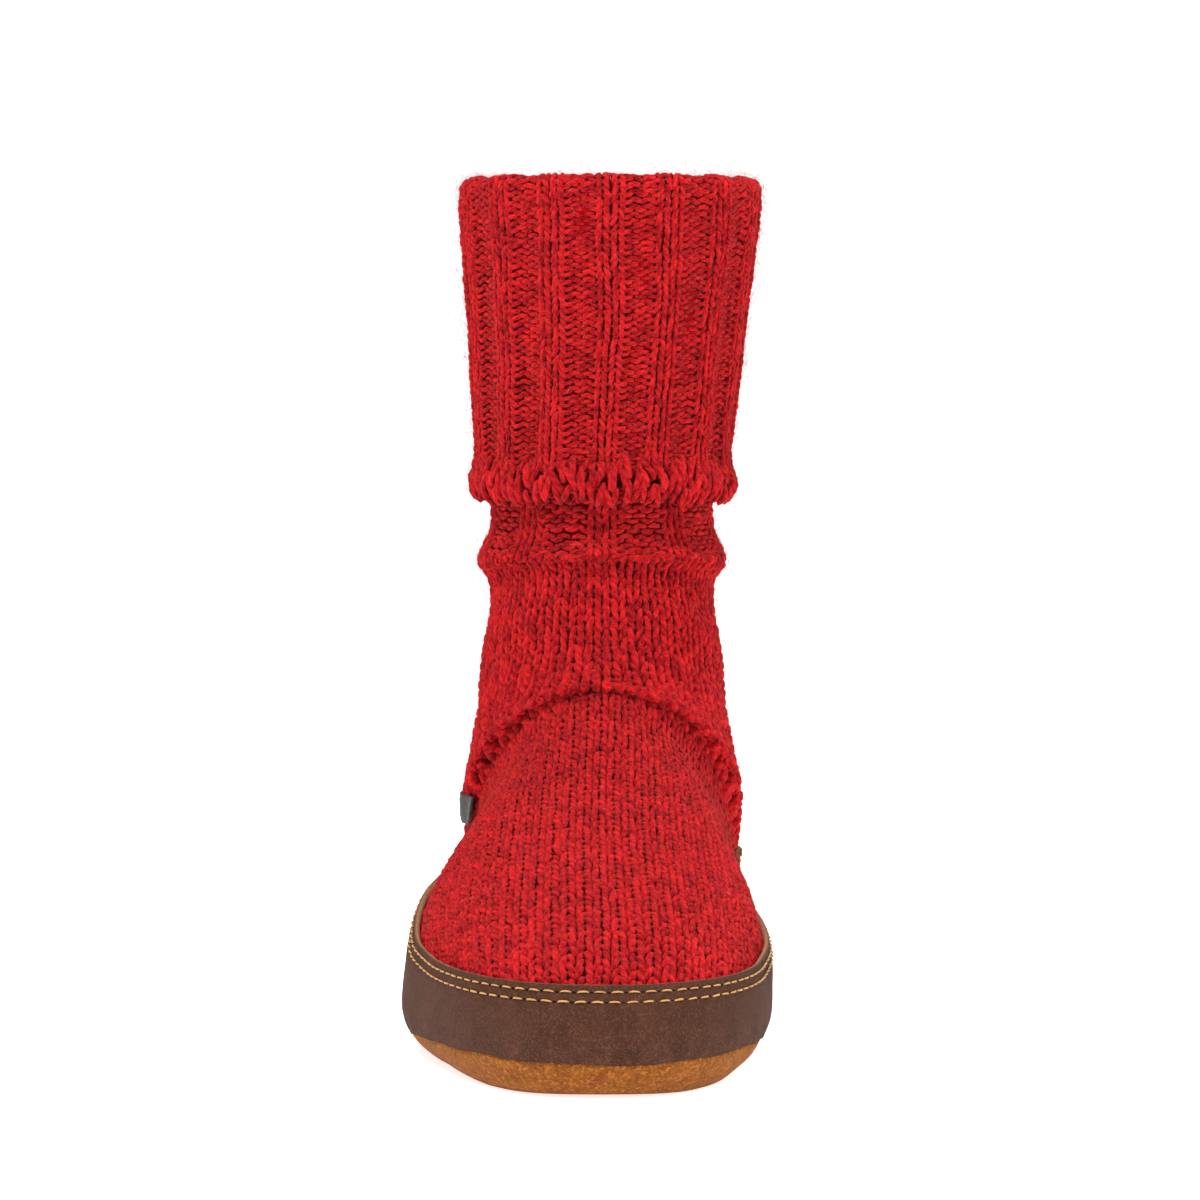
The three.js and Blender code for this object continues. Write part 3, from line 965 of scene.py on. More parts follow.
    def foot_lattice(self) -> Lattice:
        """Stitches of the foot: wales run from the instep fold to the toe, courses across the foot.

        Returns:
            Their lattice.
        """
        last = self.last
        turns = np.linspace(-self.foot_reach, self.foot_reach, self.foot_turns)
        rows = np.linspace(0.3, self.mitre_row + 0.5, self.foot_rows)
        depth = 0.3 - 0.75 * np.clip((rows - 12.4) / 1.0, 0, 1)[:, None]
        points = last.folded(*np.meshgrid(turns, rows), depth)
        middle = len(turns) // 2
        top = travelled(points[:, middle])
        at = np.arange(0, top[-1], self.foot_course / FINE)
        index = np.interp(at, top, np.arange(len(rows)))
        low = np.clip(index.astype(int), 0, len(rows) - 2)
        share = (index - low)[:, None, None]
        net = points[low] * (1 - share) + points[low + 1] * share
        wale = np.arange(-self.foot_half, self.foot_half + 1)
        place = np.full((len(at), len(wale), 3), np.nan)
        for i, section in enumerate(net):
            length = travelled(section)
            pitch = np.interp(at[i], *WALE_PITCH)
            place[i] = sampled(wale * pitch, length - length[middle], section, left=np.nan, right=np.nan)
        valid = ~np.isnan(place[..., 0])
        own_row = np.interp(index, np.arange(len(rows)), rows)
        lattice = self.surface_lattice(place, valid & (own_row[:, None] < self.mitre_row + 0.15))
        return self.mend_borders(lattice, valid)

    @staticmethod
    def mend_borders(lattice: Lattice, valid: Array) -> Lattice:
        """Gives each shown stitch whole neighbours, by carrying places on past the border.

        A course is FINE rows, so the places are carried on further along the wales than across them.

        Args:
            lattice: The lattice, with no numbers past its border.
            valid: The places within the border.

        Returns:
            The mended lattice.
        """
        place = lattice.place
        for axis in (0, 1) * FINE + (0, 0, 0):
            for step in (1, -1):
                guess = 2 * np.roll(place, step, axis) - np.roll(place, 2 * step, axis)
                hole = np.isnan(place[..., 0]) & ~np.isnan(guess[..., 0])
                place[hole] = guess[hole]
        whole = ~np.isnan(place[..., 0])
        for axis, reach in ((0, FINE), (1, 1)):
            whole &= np.roll(whole, reach, axis) & np.roll(whole, -reach, axis)
        lattice.shown = lattice.shown & valid & whole
        lattice.place = np.where(np.isnan(place), 0.0, place)
        return lattice

    def cloth(self, material: Material) -> Piece:
        """The cloth under the stitches: a hollow wall from the band up, over the rim and down the cuff.

        Args:
            material: Its finish, a darker wool that paints the shade seen in the gaps between stitches.

        Returns:
            The piece.
        """
        last, s, n = self.last, self.last.sizes, self.cloth_turns
        turns = np.arange(n) / n
        rows = [np.linspace(0.1, 2, 12)[:-1], np.linspace(2, 12, 50)[:-1], np.linspace(12, 22.5, 70)]
        rings = [
            last.skin_points(turns, np.full(n, r), -self.cloth_depth, 0.5 if r < 15.8 else 1.0)
            for r in np.concatenate(rows)
        ]
        height, offset = self.cuff_profile(self.cloth_cuff_depth)
        lower = np.linspace(rings[-1][:, 2].mean() + 2, height[0], 14)[:-1]
        levels = [(h, -self.cloth_depth) for h in lower] + list(zip(height, offset))[::2]
        rings += [last.leg_points(turns, np.full(n, h), np.full(n, o))[0] for h, o in levels]
        points = np.concatenate(rings)
        quads = ring_faces(len(rings), n)[:, BACKWARD]
        low = points[quads][..., 2].max(1) < s.sole_thickness + s.clearance + 2.5
        mesh = MeshBuilder("knit_cloth")
        mesh.add(points, [quads[~low]])
        piece = mesh.build("knit", material, "upper")
        solidify = piece.modifiers.new("wall", "SOLIDIFY")
        solidify.thickness = self.cloth_wall * MM
        solidify.offset = 0
        return piece


def node_group(
    name: str, inputs: dict[str, tuple[str, object]], outputs: dict[str, str]
) -> tuple[Group, bpy.types.Node, bpy.types.Node]:
    """Starts a shader node group with named sockets.

    Args:
        name: Its name.
        inputs: Socket names to (type, default).
        outputs: Socket names to type.

    Returns:
        The tree and its two end nodes.
    """
    tree = bpy.data.node_groups.new(name, "ShaderNodeTree")
    for key, (kind, default) in inputs.items():
        socket = tree.interface.new_socket(key, in_out="INPUT", socket_type=kind)
        socket.default_value = default
    for key, kind in outputs.items():
        tree.interface.new_socket(key, in_out="OUTPUT", socket_type=kind)
    return tree, tree.nodes.new("NodeGroupInput"), tree.nodes.new("NodeGroupOutput")


class Nodes:
    """Short ways to place and join shader nodes in a tree."""

    def __init__(self, tree: Group) -> None:
        """Keeps the tree."""
        self.tree = tree

    def put(self, kind: str, **settings: object) -> bpy.types.Node:
        """Places a node.

        Args:
            kind: Its type.
            settings: Its own settings by name.

        Returns:
            The node.
        """
        node = self.tree.nodes.new(kind)
        for key, value in settings.items():
            setattr(node, key, value)
        return node

    def feed(self, socket: Socket, value: Value) -> None:
        """Joins an output to a socket, or sets the socket's own value.

        Args:
            socket: The socket.
            value: The output or the value.
        """
        if isinstance(value, bpy.types.NodeSocket):
            self.tree.links.new(value, socket)
        else:
            socket.default_value = value

    def maths(self, operation: str, *values: Value, clamp: bool = False) -> Socket:
        """Places a Math node.

        Args:
            operation: What it works out.
            values: What it works on.
            clamp: Whether the result stays between 0 and 1.

        Returns:
            Its result.
        """
        node = self.put("ShaderNodeMath", operation=operation, use_clamp=clamp)
        for i, value in enumerate(values):
            self.feed(node.inputs[i], value)
        return node.outputs[0]

    def total(self, *terms: tuple[Value, float]) -> Socket:
        """Adds up values by weight.

        Args:
            terms: Each value and its weight.

        Returns:
            The sum.
        """
        parts = [self.maths("MULTIPLY", value, weight) for value, weight in terms]
        result = parts[0]
        for part in parts[1:]:
            result = self.maths("ADD", result, part)
        return result

    def centred(self, value: Value) -> Socket:
        """A value less one half."""
        return self.maths("SUBTRACT", value, 0.5)

    def mix(self, factor: Value, first: Value, second: Value) -> Socket:
        """Places a colour Mix node.

        Args:
            factor: The second colour's share.
            first: The first colour.
            second: The second colour.

        Returns:
            The mixed colour.
        """
        node = self.put("ShaderNodeMix", data_type="RGBA")
        for i, value in ((0, factor), (6, first), (7, second)):
            self.feed(node.inputs[i], value)
        return node.outputs[2]

    def noise(
        self, vector: Value, scale: Value, detail: float = 3.0, rough: float = 0.55, stretch: float = 0.0
    ) -> Socket:
        """Places a Noise texture.

        Args:
            vector: Where it is read.
            scale: Its scale.
            detail: How many finer layers it has.
            rough: The share of the finer layers.
            stretch: How far it is pulled out of shape.

        Returns:
            Its value.
        """
        node = self.put("ShaderNodeTexNoise")
        self.feed(node.inputs["Vector"], vector)
        self.feed(node.inputs["Scale"], scale)
        settle(node, {"Detail": detail, "Roughness": rough, "Distortion": stretch})
        return node.outputs["Fac"]

    def noise_color(self, vector: Value, scale: float) -> Socket:
        """Places a Noise texture for its three values.

        Args:
            vector: Where it is read.
            scale: Its scale.

        Returns:
            The three values, centred on zero.
        """
        node = self.put("ShaderNodeTexNoise")
        self.feed(node.inputs["Vector"], vector)
        node.inputs["Scale"].default_value = scale
        centre = self.put("ShaderNodeVectorMath", operation="SUBTRACT")
        self.feed(centre.inputs[0], node.outputs["Color"])
        centre.inputs[1].default_value = (0.5, 0.5, 0.5)
        return centre.outputs[0]

    def span(
        self, value: Value, low: float, high: float, to_low: float = 0.0, to_high: float = 1.0
    ) -> Socket:
        """Maps a value from one range to another.

        Args:
            value: The value.
            low: The range's lower end.
            high: Its upper end.
            to_low: What the lower end becomes.
            to_high: What the upper end becomes.

        Returns:
            The mapped value, kept in its range.
        """
        node = self.put("ShaderNodeMapRange")
        self.feed(node.inputs["Value"], value)
        settle(node, {"From Min": low, "From Max": high, "To Min": to_low, "To Max": to_high})
        return node.outputs["Result"]

    def bump(self, height: Value, distance: float) -> Socket:
        """Places a Bump node.

        Args:
            height: The relief.
            distance: Its depth in metres.

        Returns:
            The normal.
        """
        node = self.put("ShaderNodeBump")
        self.feed(node.inputs["Height"], height)
        settle(node, {"Distance": distance, "Strength": 1.0})
        return node.outputs["Normal"]


def wool_group() -> Group:
    """Ragg wool: a heathered colour and a fibre relief that follow the strand.

    Returns:
        The group.
    """
    tree, given, result = node_group(
        "ragg_wool",
        {
            "Bright": ("NodeSocketColor", (0.7, 0.02, 0.03, 1)),
            "Dark": ("NodeSocketColor", (0.25, 0.0, 0.01, 1)),
            "Contrast": ("NodeSocketFloat", 1.0),
        },
        {"Color": "NodeSocketColor", "Height": "NodeSocketFloat"},
    )
    n = Nodes(tree)
    strand = n.put("ShaderNodeAttribute", attribute_name="strand")
    heather = n.put("ShaderNodeAttribute", attribute_name="heather")
    place = n.put("ShaderNodeTexCoord").outputs["Object"]
    split = n.put("ShaderNodeSeparateXYZ")
    n.feed(split.inputs[0], strand.outputs["Vector"])
    chance = n.put("ShaderNodeSeparateXYZ")
    n.feed(chance.inputs[0], heather.outputs["Vector"])
    side, rise, run = split.outputs[0], split.outputs[1], split.outputs[2]
    phase = n.maths("ADD", n.maths("MULTIPLY", run, 2.1), n.maths("MULTIPLY", chance.outputs[2], TURN))
    double = n.maths("SUBTRACT", n.maths("MULTIPLY", side, side), n.maths("MULTIPLY", rise, rise))
    cross = n.maths("MULTIPLY", n.maths("MULTIPLY", side, rise), 2.0)
    ply = n.maths("ADD", n.maths("MULTIPLY", n.maths("COSINE", phase), double),
                  n.maths("MULTIPLY", n.maths("SINE", phase), cross))
    along = n.put("ShaderNodeCombineXYZ")
    n.feed(along.inputs[0], n.maths("ADD", side, n.maths("MULTIPLY", run, 0.5)))
    n.feed(along.inputs[1], rise)
    n.feed(along.inputs[2], n.maths("ADD", n.maths("MULTIPLY", run, 0.3),
                                    n.maths("MULTIPLY", chance.outputs[0], 90.0)))
    fibre = n.noise(along.outputs[0], 5.5, 4, 0.68, 0.6)
    blotch = n.noise(place, 150.0, 3, 0.6)
    fine = n.noise(place, 1700.0, 3, 0.75)
    value = n.total(
        (n.centred(chance.outputs[0]), 0.4), (n.centred(fibre), 2.0), (n.centred(blotch), 0.7),
        (n.centred(fine), 1.1), (ply, 0.22),
    )
    value = n.maths("ADD", n.maths("MULTIPLY", value, given.outputs["Contrast"]), 0.5, clamp=True)
    n.feed(result.inputs["Color"], n.mix(value, given.outputs["Dark"], given.outputs["Bright"]))
    n.feed(result.inputs["Height"], n.total((ply, 0.45), (fibre, 1.3), (fine, 0.9)))
    return tree


def nap_group() -> Group:
    """Suede and nubuck: brushed patches, fine grain, crazing and raw edges.

    Returns:
        The group.
    """
    tree, given, result = node_group(
        "leather_nap",
        {
            "Base": ("NodeSocketColor", (0.1, 0.05, 0.03, 1)),
            "Light": ("NodeSocketColor", (0.2, 0.1, 0.06, 1)),
            "Deep": ("NodeSocketColor", (0.05, 0.02, 0.01, 1)),
            "Patch": ("NodeSocketFloat", 60.0),
            "Grain": ("NodeSocketFloat", 900.0),
            "Raw": ("NodeSocketColor", (0.4, 0.2, 0.1, 1)),
            "Craze": ("NodeSocketFloat", 0.0),
        },
        {"Color": "NodeSocketColor", "Height": "NodeSocketFloat", "Rough": "NodeSocketFloat"},
    )
    n = Nodes(tree)
    place = n.put("ShaderNodeTexCoord").outputs["Object"]
    patch = n.noise(place, given.outputs["Patch"], 4, 0.6, 0.6)
    grain = n.noise(place, given.outputs["Grain"], 3, 0.65)
    pores = n.put("ShaderNodeTexVoronoi", feature="DISTANCE_TO_EDGE")
    n.feed(pores.inputs["Vector"], place)
    n.feed(pores.inputs["Scale"], n.maths("MULTIPLY", given.outputs["Grain"], 0.8))
    crack = n.span(pores.outputs["Distance"], 0.0, 0.22)
    color = n.mix(n.span(patch, 0.34, 0.66), given.outputs["Deep"], given.outputs["Base"])
    color = n.mix(n.span(grain, 0.48, 0.72, 0.0, 0.8), color, given.outputs["Light"])
    color = n.mix(n.maths("MULTIPLY", n.maths("SUBTRACT", 1.0, crack), 0.28), color, given.outputs["Deep"])
    marks = n.put("ShaderNodeSeparateXYZ")
    n.feed(marks.inputs[0], n.put("ShaderNodeAttribute", attribute_name="marks").outputs["Vector"])
    web = n.put("ShaderNodeTexVoronoi", feature="DISTANCE_TO_EDGE")
    web.inputs["Scale"].default_value = 760.0
    wavy = n.put("ShaderNodeVectorMath", operation="ADD")
    n.feed(wavy.inputs[0], place)
    drift = n.put("ShaderNodeVectorMath", operation="SCALE")
    n.feed(drift.inputs[0], n.noise_color(place, 260.0))
    drift.inputs["Scale"].default_value = 0.004
    n.feed(wavy.inputs[1], drift.outputs[0])
    n.feed(web.inputs["Vector"], wavy.outputs[0])
    line = n.span(web.outputs["Distance"], 0.0, 0.16, 1.0, 0.0)
    craze = n.maths("MULTIPLY", n.maths("MULTIPLY", line, marks.outputs[1]), given.outputs["Craze"])
    color = n.mix(n.maths("MULTIPLY", craze, n.span(patch, 0.35, 0.6)), color, given.outputs["Light"])
    bare = n.maths("MULTIPLY", marks.outputs[0], n.span(grain, 0.3, 0.6, 0.6, 1.0))
    color = n.mix(bare, color, given.outputs["Raw"])
    n.feed(result.inputs["Color"], color)
    n.feed(result.inputs["Height"], n.total((grain, 0.9), (crack, 0.4), (craze, 1.2)))
    n.feed(result.inputs["Rough"], n.span(grain, 0.3, 0.7, 0.78, 0.98))
    return tree


class Finish:
    """Base of the finishes: a material with one Principled shader."""

    def begin(
        self, name: str, values: dict[str, float | Colour]
    ) -> tuple[Material, Nodes, dict[str, Socket]]:
        """Starts a material.

        Args:
            name: Its name.
            values: The shader's own values by socket.

        Returns:
            The material, its nodes and the shader's sockets.
        """
        material = bpy.data.materials.new(name)
        material.use_nodes = True
        shader = material.node_tree.nodes["Principled BSDF"]
        settle(shader, values)
        return material, Nodes(material.node_tree), shader.inputs


@dataclass(frozen=True)
class WoolFinish(Finish):
    """Heathered red wool."""

    name: str
    bright: Colour
    dark: Colour
    contrast: float = 1.0
    relief: float = 0.0003
    sheen: float = 0.25
    tint: Colour = (1.0, 0.22, 0.2, 1)

    def make(self, group: Group) -> Material:
        """Builds the material.

        Args:
            group: The wool's node group.

        Returns:
            The material.
        """
        material, n, sockets = self.begin(self.name, {
            "Roughness": 0.95, "Specular IOR Level": 0.04,
            "Sheen Weight": self.sheen, "Sheen Roughness": 0.45, "Sheen Tint": self.tint,
        })
        wool = n.put("ShaderNodeGroup", node_tree=group)
        settle(wool, {"Bright": self.bright, "Dark": self.dark, "Contrast": self.contrast})
        n.feed(sockets["Base Color"], wool.outputs["Color"])
        n.feed(sockets["Normal"], n.bump(wool.outputs["Height"], self.relief))
        return material


@dataclass(frozen=True)
class NapFinish(Finish):
    """Nubuck, suede or felt."""

    name: str
    base: Colour
    light: Colour
    deep: Colour
    patch: float
    grain: float
    relief: float
    sheen: float
    gloss: float = 0.25
    craze: float = 0.0
    raw: Colour = (0.42, 0.22, 0.11, 1)
    tint: Colour = (1.0, 0.8, 0.65, 1)

    def make(self, group: Group) -> Material:
        """Builds the material.

        Args:
            group: The nap's node group.

        Returns:
            The material.
        """
        material, n, sockets = self.begin(self.name, {
            "Specular IOR Level": self.gloss,
            "Sheen Weight": self.sheen, "Sheen Roughness": 0.5, "Sheen Tint": self.tint,
        })
        nap = n.put("ShaderNodeGroup", node_tree=group)
        settle(nap, {
            "Base": self.base, "Light": self.light, "Deep": self.deep, "Patch": self.patch,
            "Grain": self.grain, "Raw": self.raw, "Craze": self.craze,
        })
        n.feed(sockets["Base Color"], nap.outputs["Color"])
        n.feed(sockets["Roughness"], nap.outputs["Rough"])
        n.feed(sockets["Normal"], n.bump(nap.outputs["Height"], self.relief))
        return material


@dataclass(frozen=True)
class ThreadFinish(Finish):
    """Sewing thread, woven tape, pale hair, or the painted shade of a needle hole."""

    name: str
    bright: Colour
    dark: Colour
    scale: float = 900.0
    sheen: float = 0.2
    gloss: float = 0.3
    relief: float = 0.00008

    def make(self) -> Material:
        """Builds the material.

        Returns:
            The material.
        """
        material, n, sockets = self.begin(self.name, {
            "Roughness": 0.75, "Specular IOR Level": self.gloss, "Sheen Weight": self.sheen,
        })
        place = n.put("ShaderNodeTexCoord").outputs["Object"]
        twist = n.noise(place, self.scale, 2, 0.6, 0.5)
        slow = n.noise(place, self.scale / 9, 2, 0.5)
        value = n.maths("ADD", n.maths("MULTIPLY", twist, 0.7), n.maths("MULTIPLY", slow, 0.5), clamp=True)
        n.feed(sockets["Base Color"], n.mix(value, self.dark, self.bright))
        n.feed(sockets["Normal"], n.bump(twist, self.relief))
        return material


@dataclass
class FootWrap:
    """Places on the band and the sole by a station round the foot and a height."""

    last: Last
    stations: int = 420
    turns: int = 160
    toe_at: float = 62.0
    heel_at: float = 222.0
    heel_side: float = 1.2
    end_radius: float = 46.0
    far: float = 160.0

    def __post_init__(self) -> None:
        """Makes the band's outer face as a dense net for casting rays."""
        rows = np.concatenate([np.linspace(0.03, 1, 14)[:-1], np.linspace(1, 17, 130)])
        n = self.turns
        sizes = self.last.sizes
        grid = self.last.skin_points(*np.meshgrid(np.arange(n) / n, rows), sizes.skin)
        points = np.vstack([grid.reshape(-1, 3), grid[0].mean(0)])
        quads = ring_faces(len(rows), n)[:, BACKWARD]
        caps = [[len(points) - 1, (c + 1) % n, c] for c in range(n)]
        self.net = BVHTree.FromPolygons(points.tolist(), quads.tolist() + caps)
        side, front = self.last.shift[0], self.last.shift[1] - sizes.shoe_length / 2
        self.toe = np.array([side, front + self.toe_at, 0])
        self.heel = np.array([side + self.heel_side, front + self.heel_at, 0])

    def ray(self, share: float) -> tuple[Array, Array]:
        """The level ray at a station.

        Args:
            share: The share of the way round, from the middle of the heel along the outer side to the
                toe and back along the inner side.

        Returns:
            Its start and its direction.
        """
        straight = self.heel[1] - self.toe[1]
        arc = math.pi * self.end_radius
        way = (share % 1.0) * 2 * (straight + arc)
        quarter = math.pi / 2
        for start, end, length, angle, turned in (
            (self.heel, self.heel, arc / 2, quarter, quarter),
            (self.heel, self.toe, straight, math.pi, 0.0),
            (self.toe, self.toe, arc, math.pi, math.pi),
            (self.toe, self.heel, straight, 0.0, 0.0),
            (self.heel, self.heel, arc / 2, 0.0, quarter),
        ):
            if way < length:
                break
            way -= length
        angle += turned * way / length
        return start + (end - start) * way / length, np.array([math.cos(angle), math.sin(angle), 0])

    def touch(self, share: float, height: float) -> tuple[Array, Array]:
        """Finds the band's outer face.

        Args:
            share: The station.
            height: The height.

        Returns:
            The place and its outward direction.
        """
        start, toward = self.ray(share)
        far = Vector((*(start[:2] + toward[:2] * self.far), height))
        hit, normal, _, _ = self.net.ray_cast(far, Vector(-toward))
        if hit is None:
            hit, normal = Vector((*start[:2], height)), Vector(toward)
        facing = np.array(normal)
        return np.array(hit), facing if facing @ toward > 0 else -facing

    def places(self, shares: Array, height: float) -> Array:
        """The band's outer face at many stations at one height."""
        return np.array([self.touch(share, height)[0] for share in shares])

    def level_out(self, shares: Array, height: float) -> Array:
        """Outward directions at many stations at one height, made level.

        Args:
            shares: The stations.
            height: The height.

        Returns:
            One direction for each station.
        """
        out = np.array([self.touch(share, height)[1] for share in shares])
        out[:, 2] = 0
        return unit(out)

    def centres(self, shares: Array) -> Array:
        """Where the rays of many stations start."""
        return np.array([self.ray(share)[0] for share in shares])

    def edge_height(self, share: float) -> float:
        """Height of the band's upper edge.

        Args:
            share: The station.

        Returns:
            The height.
        """
        height = 40.0
        for _ in range(4):
            hit, _ = self.touch(share, height)
            height = float(self.last.band_edge(*hit[:2]))
        return height


@dataclass
class Band:
    """The leather band with its raw edge, its lower edge and two rows of stitching."""

    wrap: FootWrap
    levels: int = 26
    rows_below: tuple[float, float] = (1.7, 4.3)
    stitch_pitch: float = 4.9
    side_low: float = 4.4
    toe_low: float = 11.0
    stitch_length: float = 4.1
    thread: float = 0.26
    seam_dent: float = 0.32
    seam_reach: float = 0.75
    pucker: float = 0.16
    seeds: tuple[int, int] = (11, 17)

    def __post_init__(self) -> None:
        """Casts the band's face once, station by level."""
        n = self.wrap.stations
        shares = np.arange(n) / n
        self.edge = np.array([self.wrap.edge_height(share) for share in shares])
        wave = 0.35 * np.sin(shares * TURN * 9 + 1) + 0.25 * np.sin(shares * TURN * 23)
        toe = np.exp(-(((shares - 0.5) / 0.17) ** 4))
        self.low = self.side_low + (self.toe_low - self.side_low) * toe + wave * 0.7
        level = np.linspace(0, 1, self.levels)
        self.place = np.zeros((self.levels, n, 3))
        self.out = np.zeros((self.levels, n, 3))
        for i, share in enumerate(shares):
            for j, t in enumerate(level):
                height = self.low[i] + (self.edge[i] - self.low[i]) * t
                self.place[j, i], self.out[j, i] = self.wrap.touch(share, height)
        self.out = unit(self.soften(self.out))

    @staticmethod
    def soften(values: Array) -> Array:
        """Values evened out round the foot.

        Args:
            values: The values, station by station along the second axis.

        Returns:
            The evened values.
        """
        for _ in range(3):
            values = (np.roll(values, 1, 1) + 2 * values + np.roll(values, -1, 1)) / 4
        return values

    def leather(self, material: Material) -> Piece:
        """The band itself: outer face, rounded edges, inner face, slightly quilted by its seams.

        Args:
            material: Its finish.

        Returns:
            The piece.
        """
        n = self.wrap.stations
        rng = np.random.default_rng(self.seeds[0])
        thick = self.wrap.last.sizes.band_thickness
        depth = np.linspace(0, 1, self.levels)[:, None] * (self.edge - self.low)[None, :]
        below = (self.edge - self.low)[None, :] - depth
        dent = np.zeros_like(below)
        for row in self.rows_below:
            dent += self.seam_dent * np.exp(-(((below - row) / self.seam_reach) ** 2))
        round_foot = np.arange(n)[None, :] * TURN / n
        pucker = Knit.low_wave(rng, depth / 9, round_foot * 6) * self.pucker
        pucker = pucker + 0.1 * np.exp(-((depth / 3.0) ** 2)) * np.sin(round_foot * 66)
        outer = self.place + self.out * (pucker - dent)[..., None]
        inner = self.place - self.out * (thick - 0.1)
        rim = (outer[-1] + inner[-1]) / 2 + np.array([0, 0, 0.5])
        hem = (outer[0] + inner[0]) / 2 - np.array([0, 0, 0.35])
        shoulder = outer[-1] * 0.8 + inner[-1] * 0.2 + np.array([0, 0, 0.42])
        rings = [hem, outer[0] - np.array([0, 0, 0.2]), *outer, shoulder, rim, *inner[::-6], inner[0]]
        marks = np.zeros((len(rings), n, 3))
        marks[2 + self.levels, :, 0] = 0.35
        marks[3 + self.levels:5 + self.levels, :, 0] = 1
        marks[2:2 + self.levels, :, 1] = np.exp(-(((depth - 3.0) / 3.5) ** 2))
        mesh = MeshBuilder("leather_band")
        mesh.add(np.stack(rings), [ring_faces(len(rings), n, loop=True)], marks=marks)
        return mesh.build("band_leather", material, "sidewall")

    def seam_line(self, below: float) -> tuple[Array, Array]:
        """A closed line on the band.

        Args:
            below: Its distance below the band's upper edge.

        Returns:
            Its points and their outward directions; the last are the first again.
        """
        depth = self.edge - self.low
        level = np.clip((1 - below / depth) * (self.levels - 1), 0, self.levels - 1.001)
        base = level.astype(int)
        t = (level - base)[:, None]
        i = np.arange(self.wrap.stations)
        place = self.place[base, i] * (1 - t) + self.place[base + 1, i] * t
        out = unit(self.out[base, i] * (1 - t) + self.out[base + 1, i] * t)
        return np.vstack([place, place[:1]]), np.vstack([out, out[:1]])

    def stitching(self, thread: Material, hole: Material) -> None:
        """Both rows of thread, with a small dark body between stitches that paints the shade of a needle
        hole.

        Args:
            thread: The thread's finish.
            hole: The near-black finish that paints the needle holes' shade.
        """
        threads, holes = MeshBuilder("band_thread"), MeshBuilder("needle_hole_shade")
        rng = np.random.default_rng(self.seeds[1])
        for row, below in enumerate(self.rows_below):
            place, out = self.seam_line(below)
            length = travelled(place)
            count = int(length[-1] / self.stitch_pitch)
            start = (np.arange(count) + 0.35 * row) * length[-1] / count
            start = start + rng.normal(0, 0.12, count)
            steps = np.linspace(0, 1, len(THREAD_STEPS))
            at = (start[:, None] + steps * self.stitch_length) % length[-1]
            path, away = sampled(at, length, place), unit(sampled(at, length, out))
            tilt = rng.normal(0, 0.12, (count, 1)) * (steps - 0.5)
            path = path + away * THREAD_STEPS[:, :1] + np.array([0, 0, 1.0]) * tilt[..., None]
            radii = THREAD_STEPS[:, 1] * self.thread * (1 + rng.normal(0, 0.06, (count, 1)))
            points, faces, strand = yarn_bodies(path, radii, away[:, 2], 7, 0.8)
            heather = np.repeat(rng.random((count, 1, 3)), points.shape[1], 1)
            threads.add(points, faces, strand=strand, heather=heather)
            # Each needle hole is a near-black body sunk in the leather: painted shade, not an opening.
            gap = (start + self.stitch_length + (self.stitch_pitch - self.stitch_length) / 2) % length[-1]
            dot, dot_out = sampled(gap, length, place), unit(sampled(gap, length, out))
            line = unit(sampled((gap + 0.6) % length[-1], length, place) - dot)
            ends = np.stack([dot - line * back - dot_out * deep for back, deep, _ in HOLE_STEPS], 1)
            radii = np.tile(HOLE_STEPS[:, 2], (count, 1))
            points, faces, _ = yarn_bodies(ends, radii, dot_out, 7, 0.5)
            holes.add(points, faces)
        threads.build("band_leather", thread)
        holes.build("band_leather", hole)


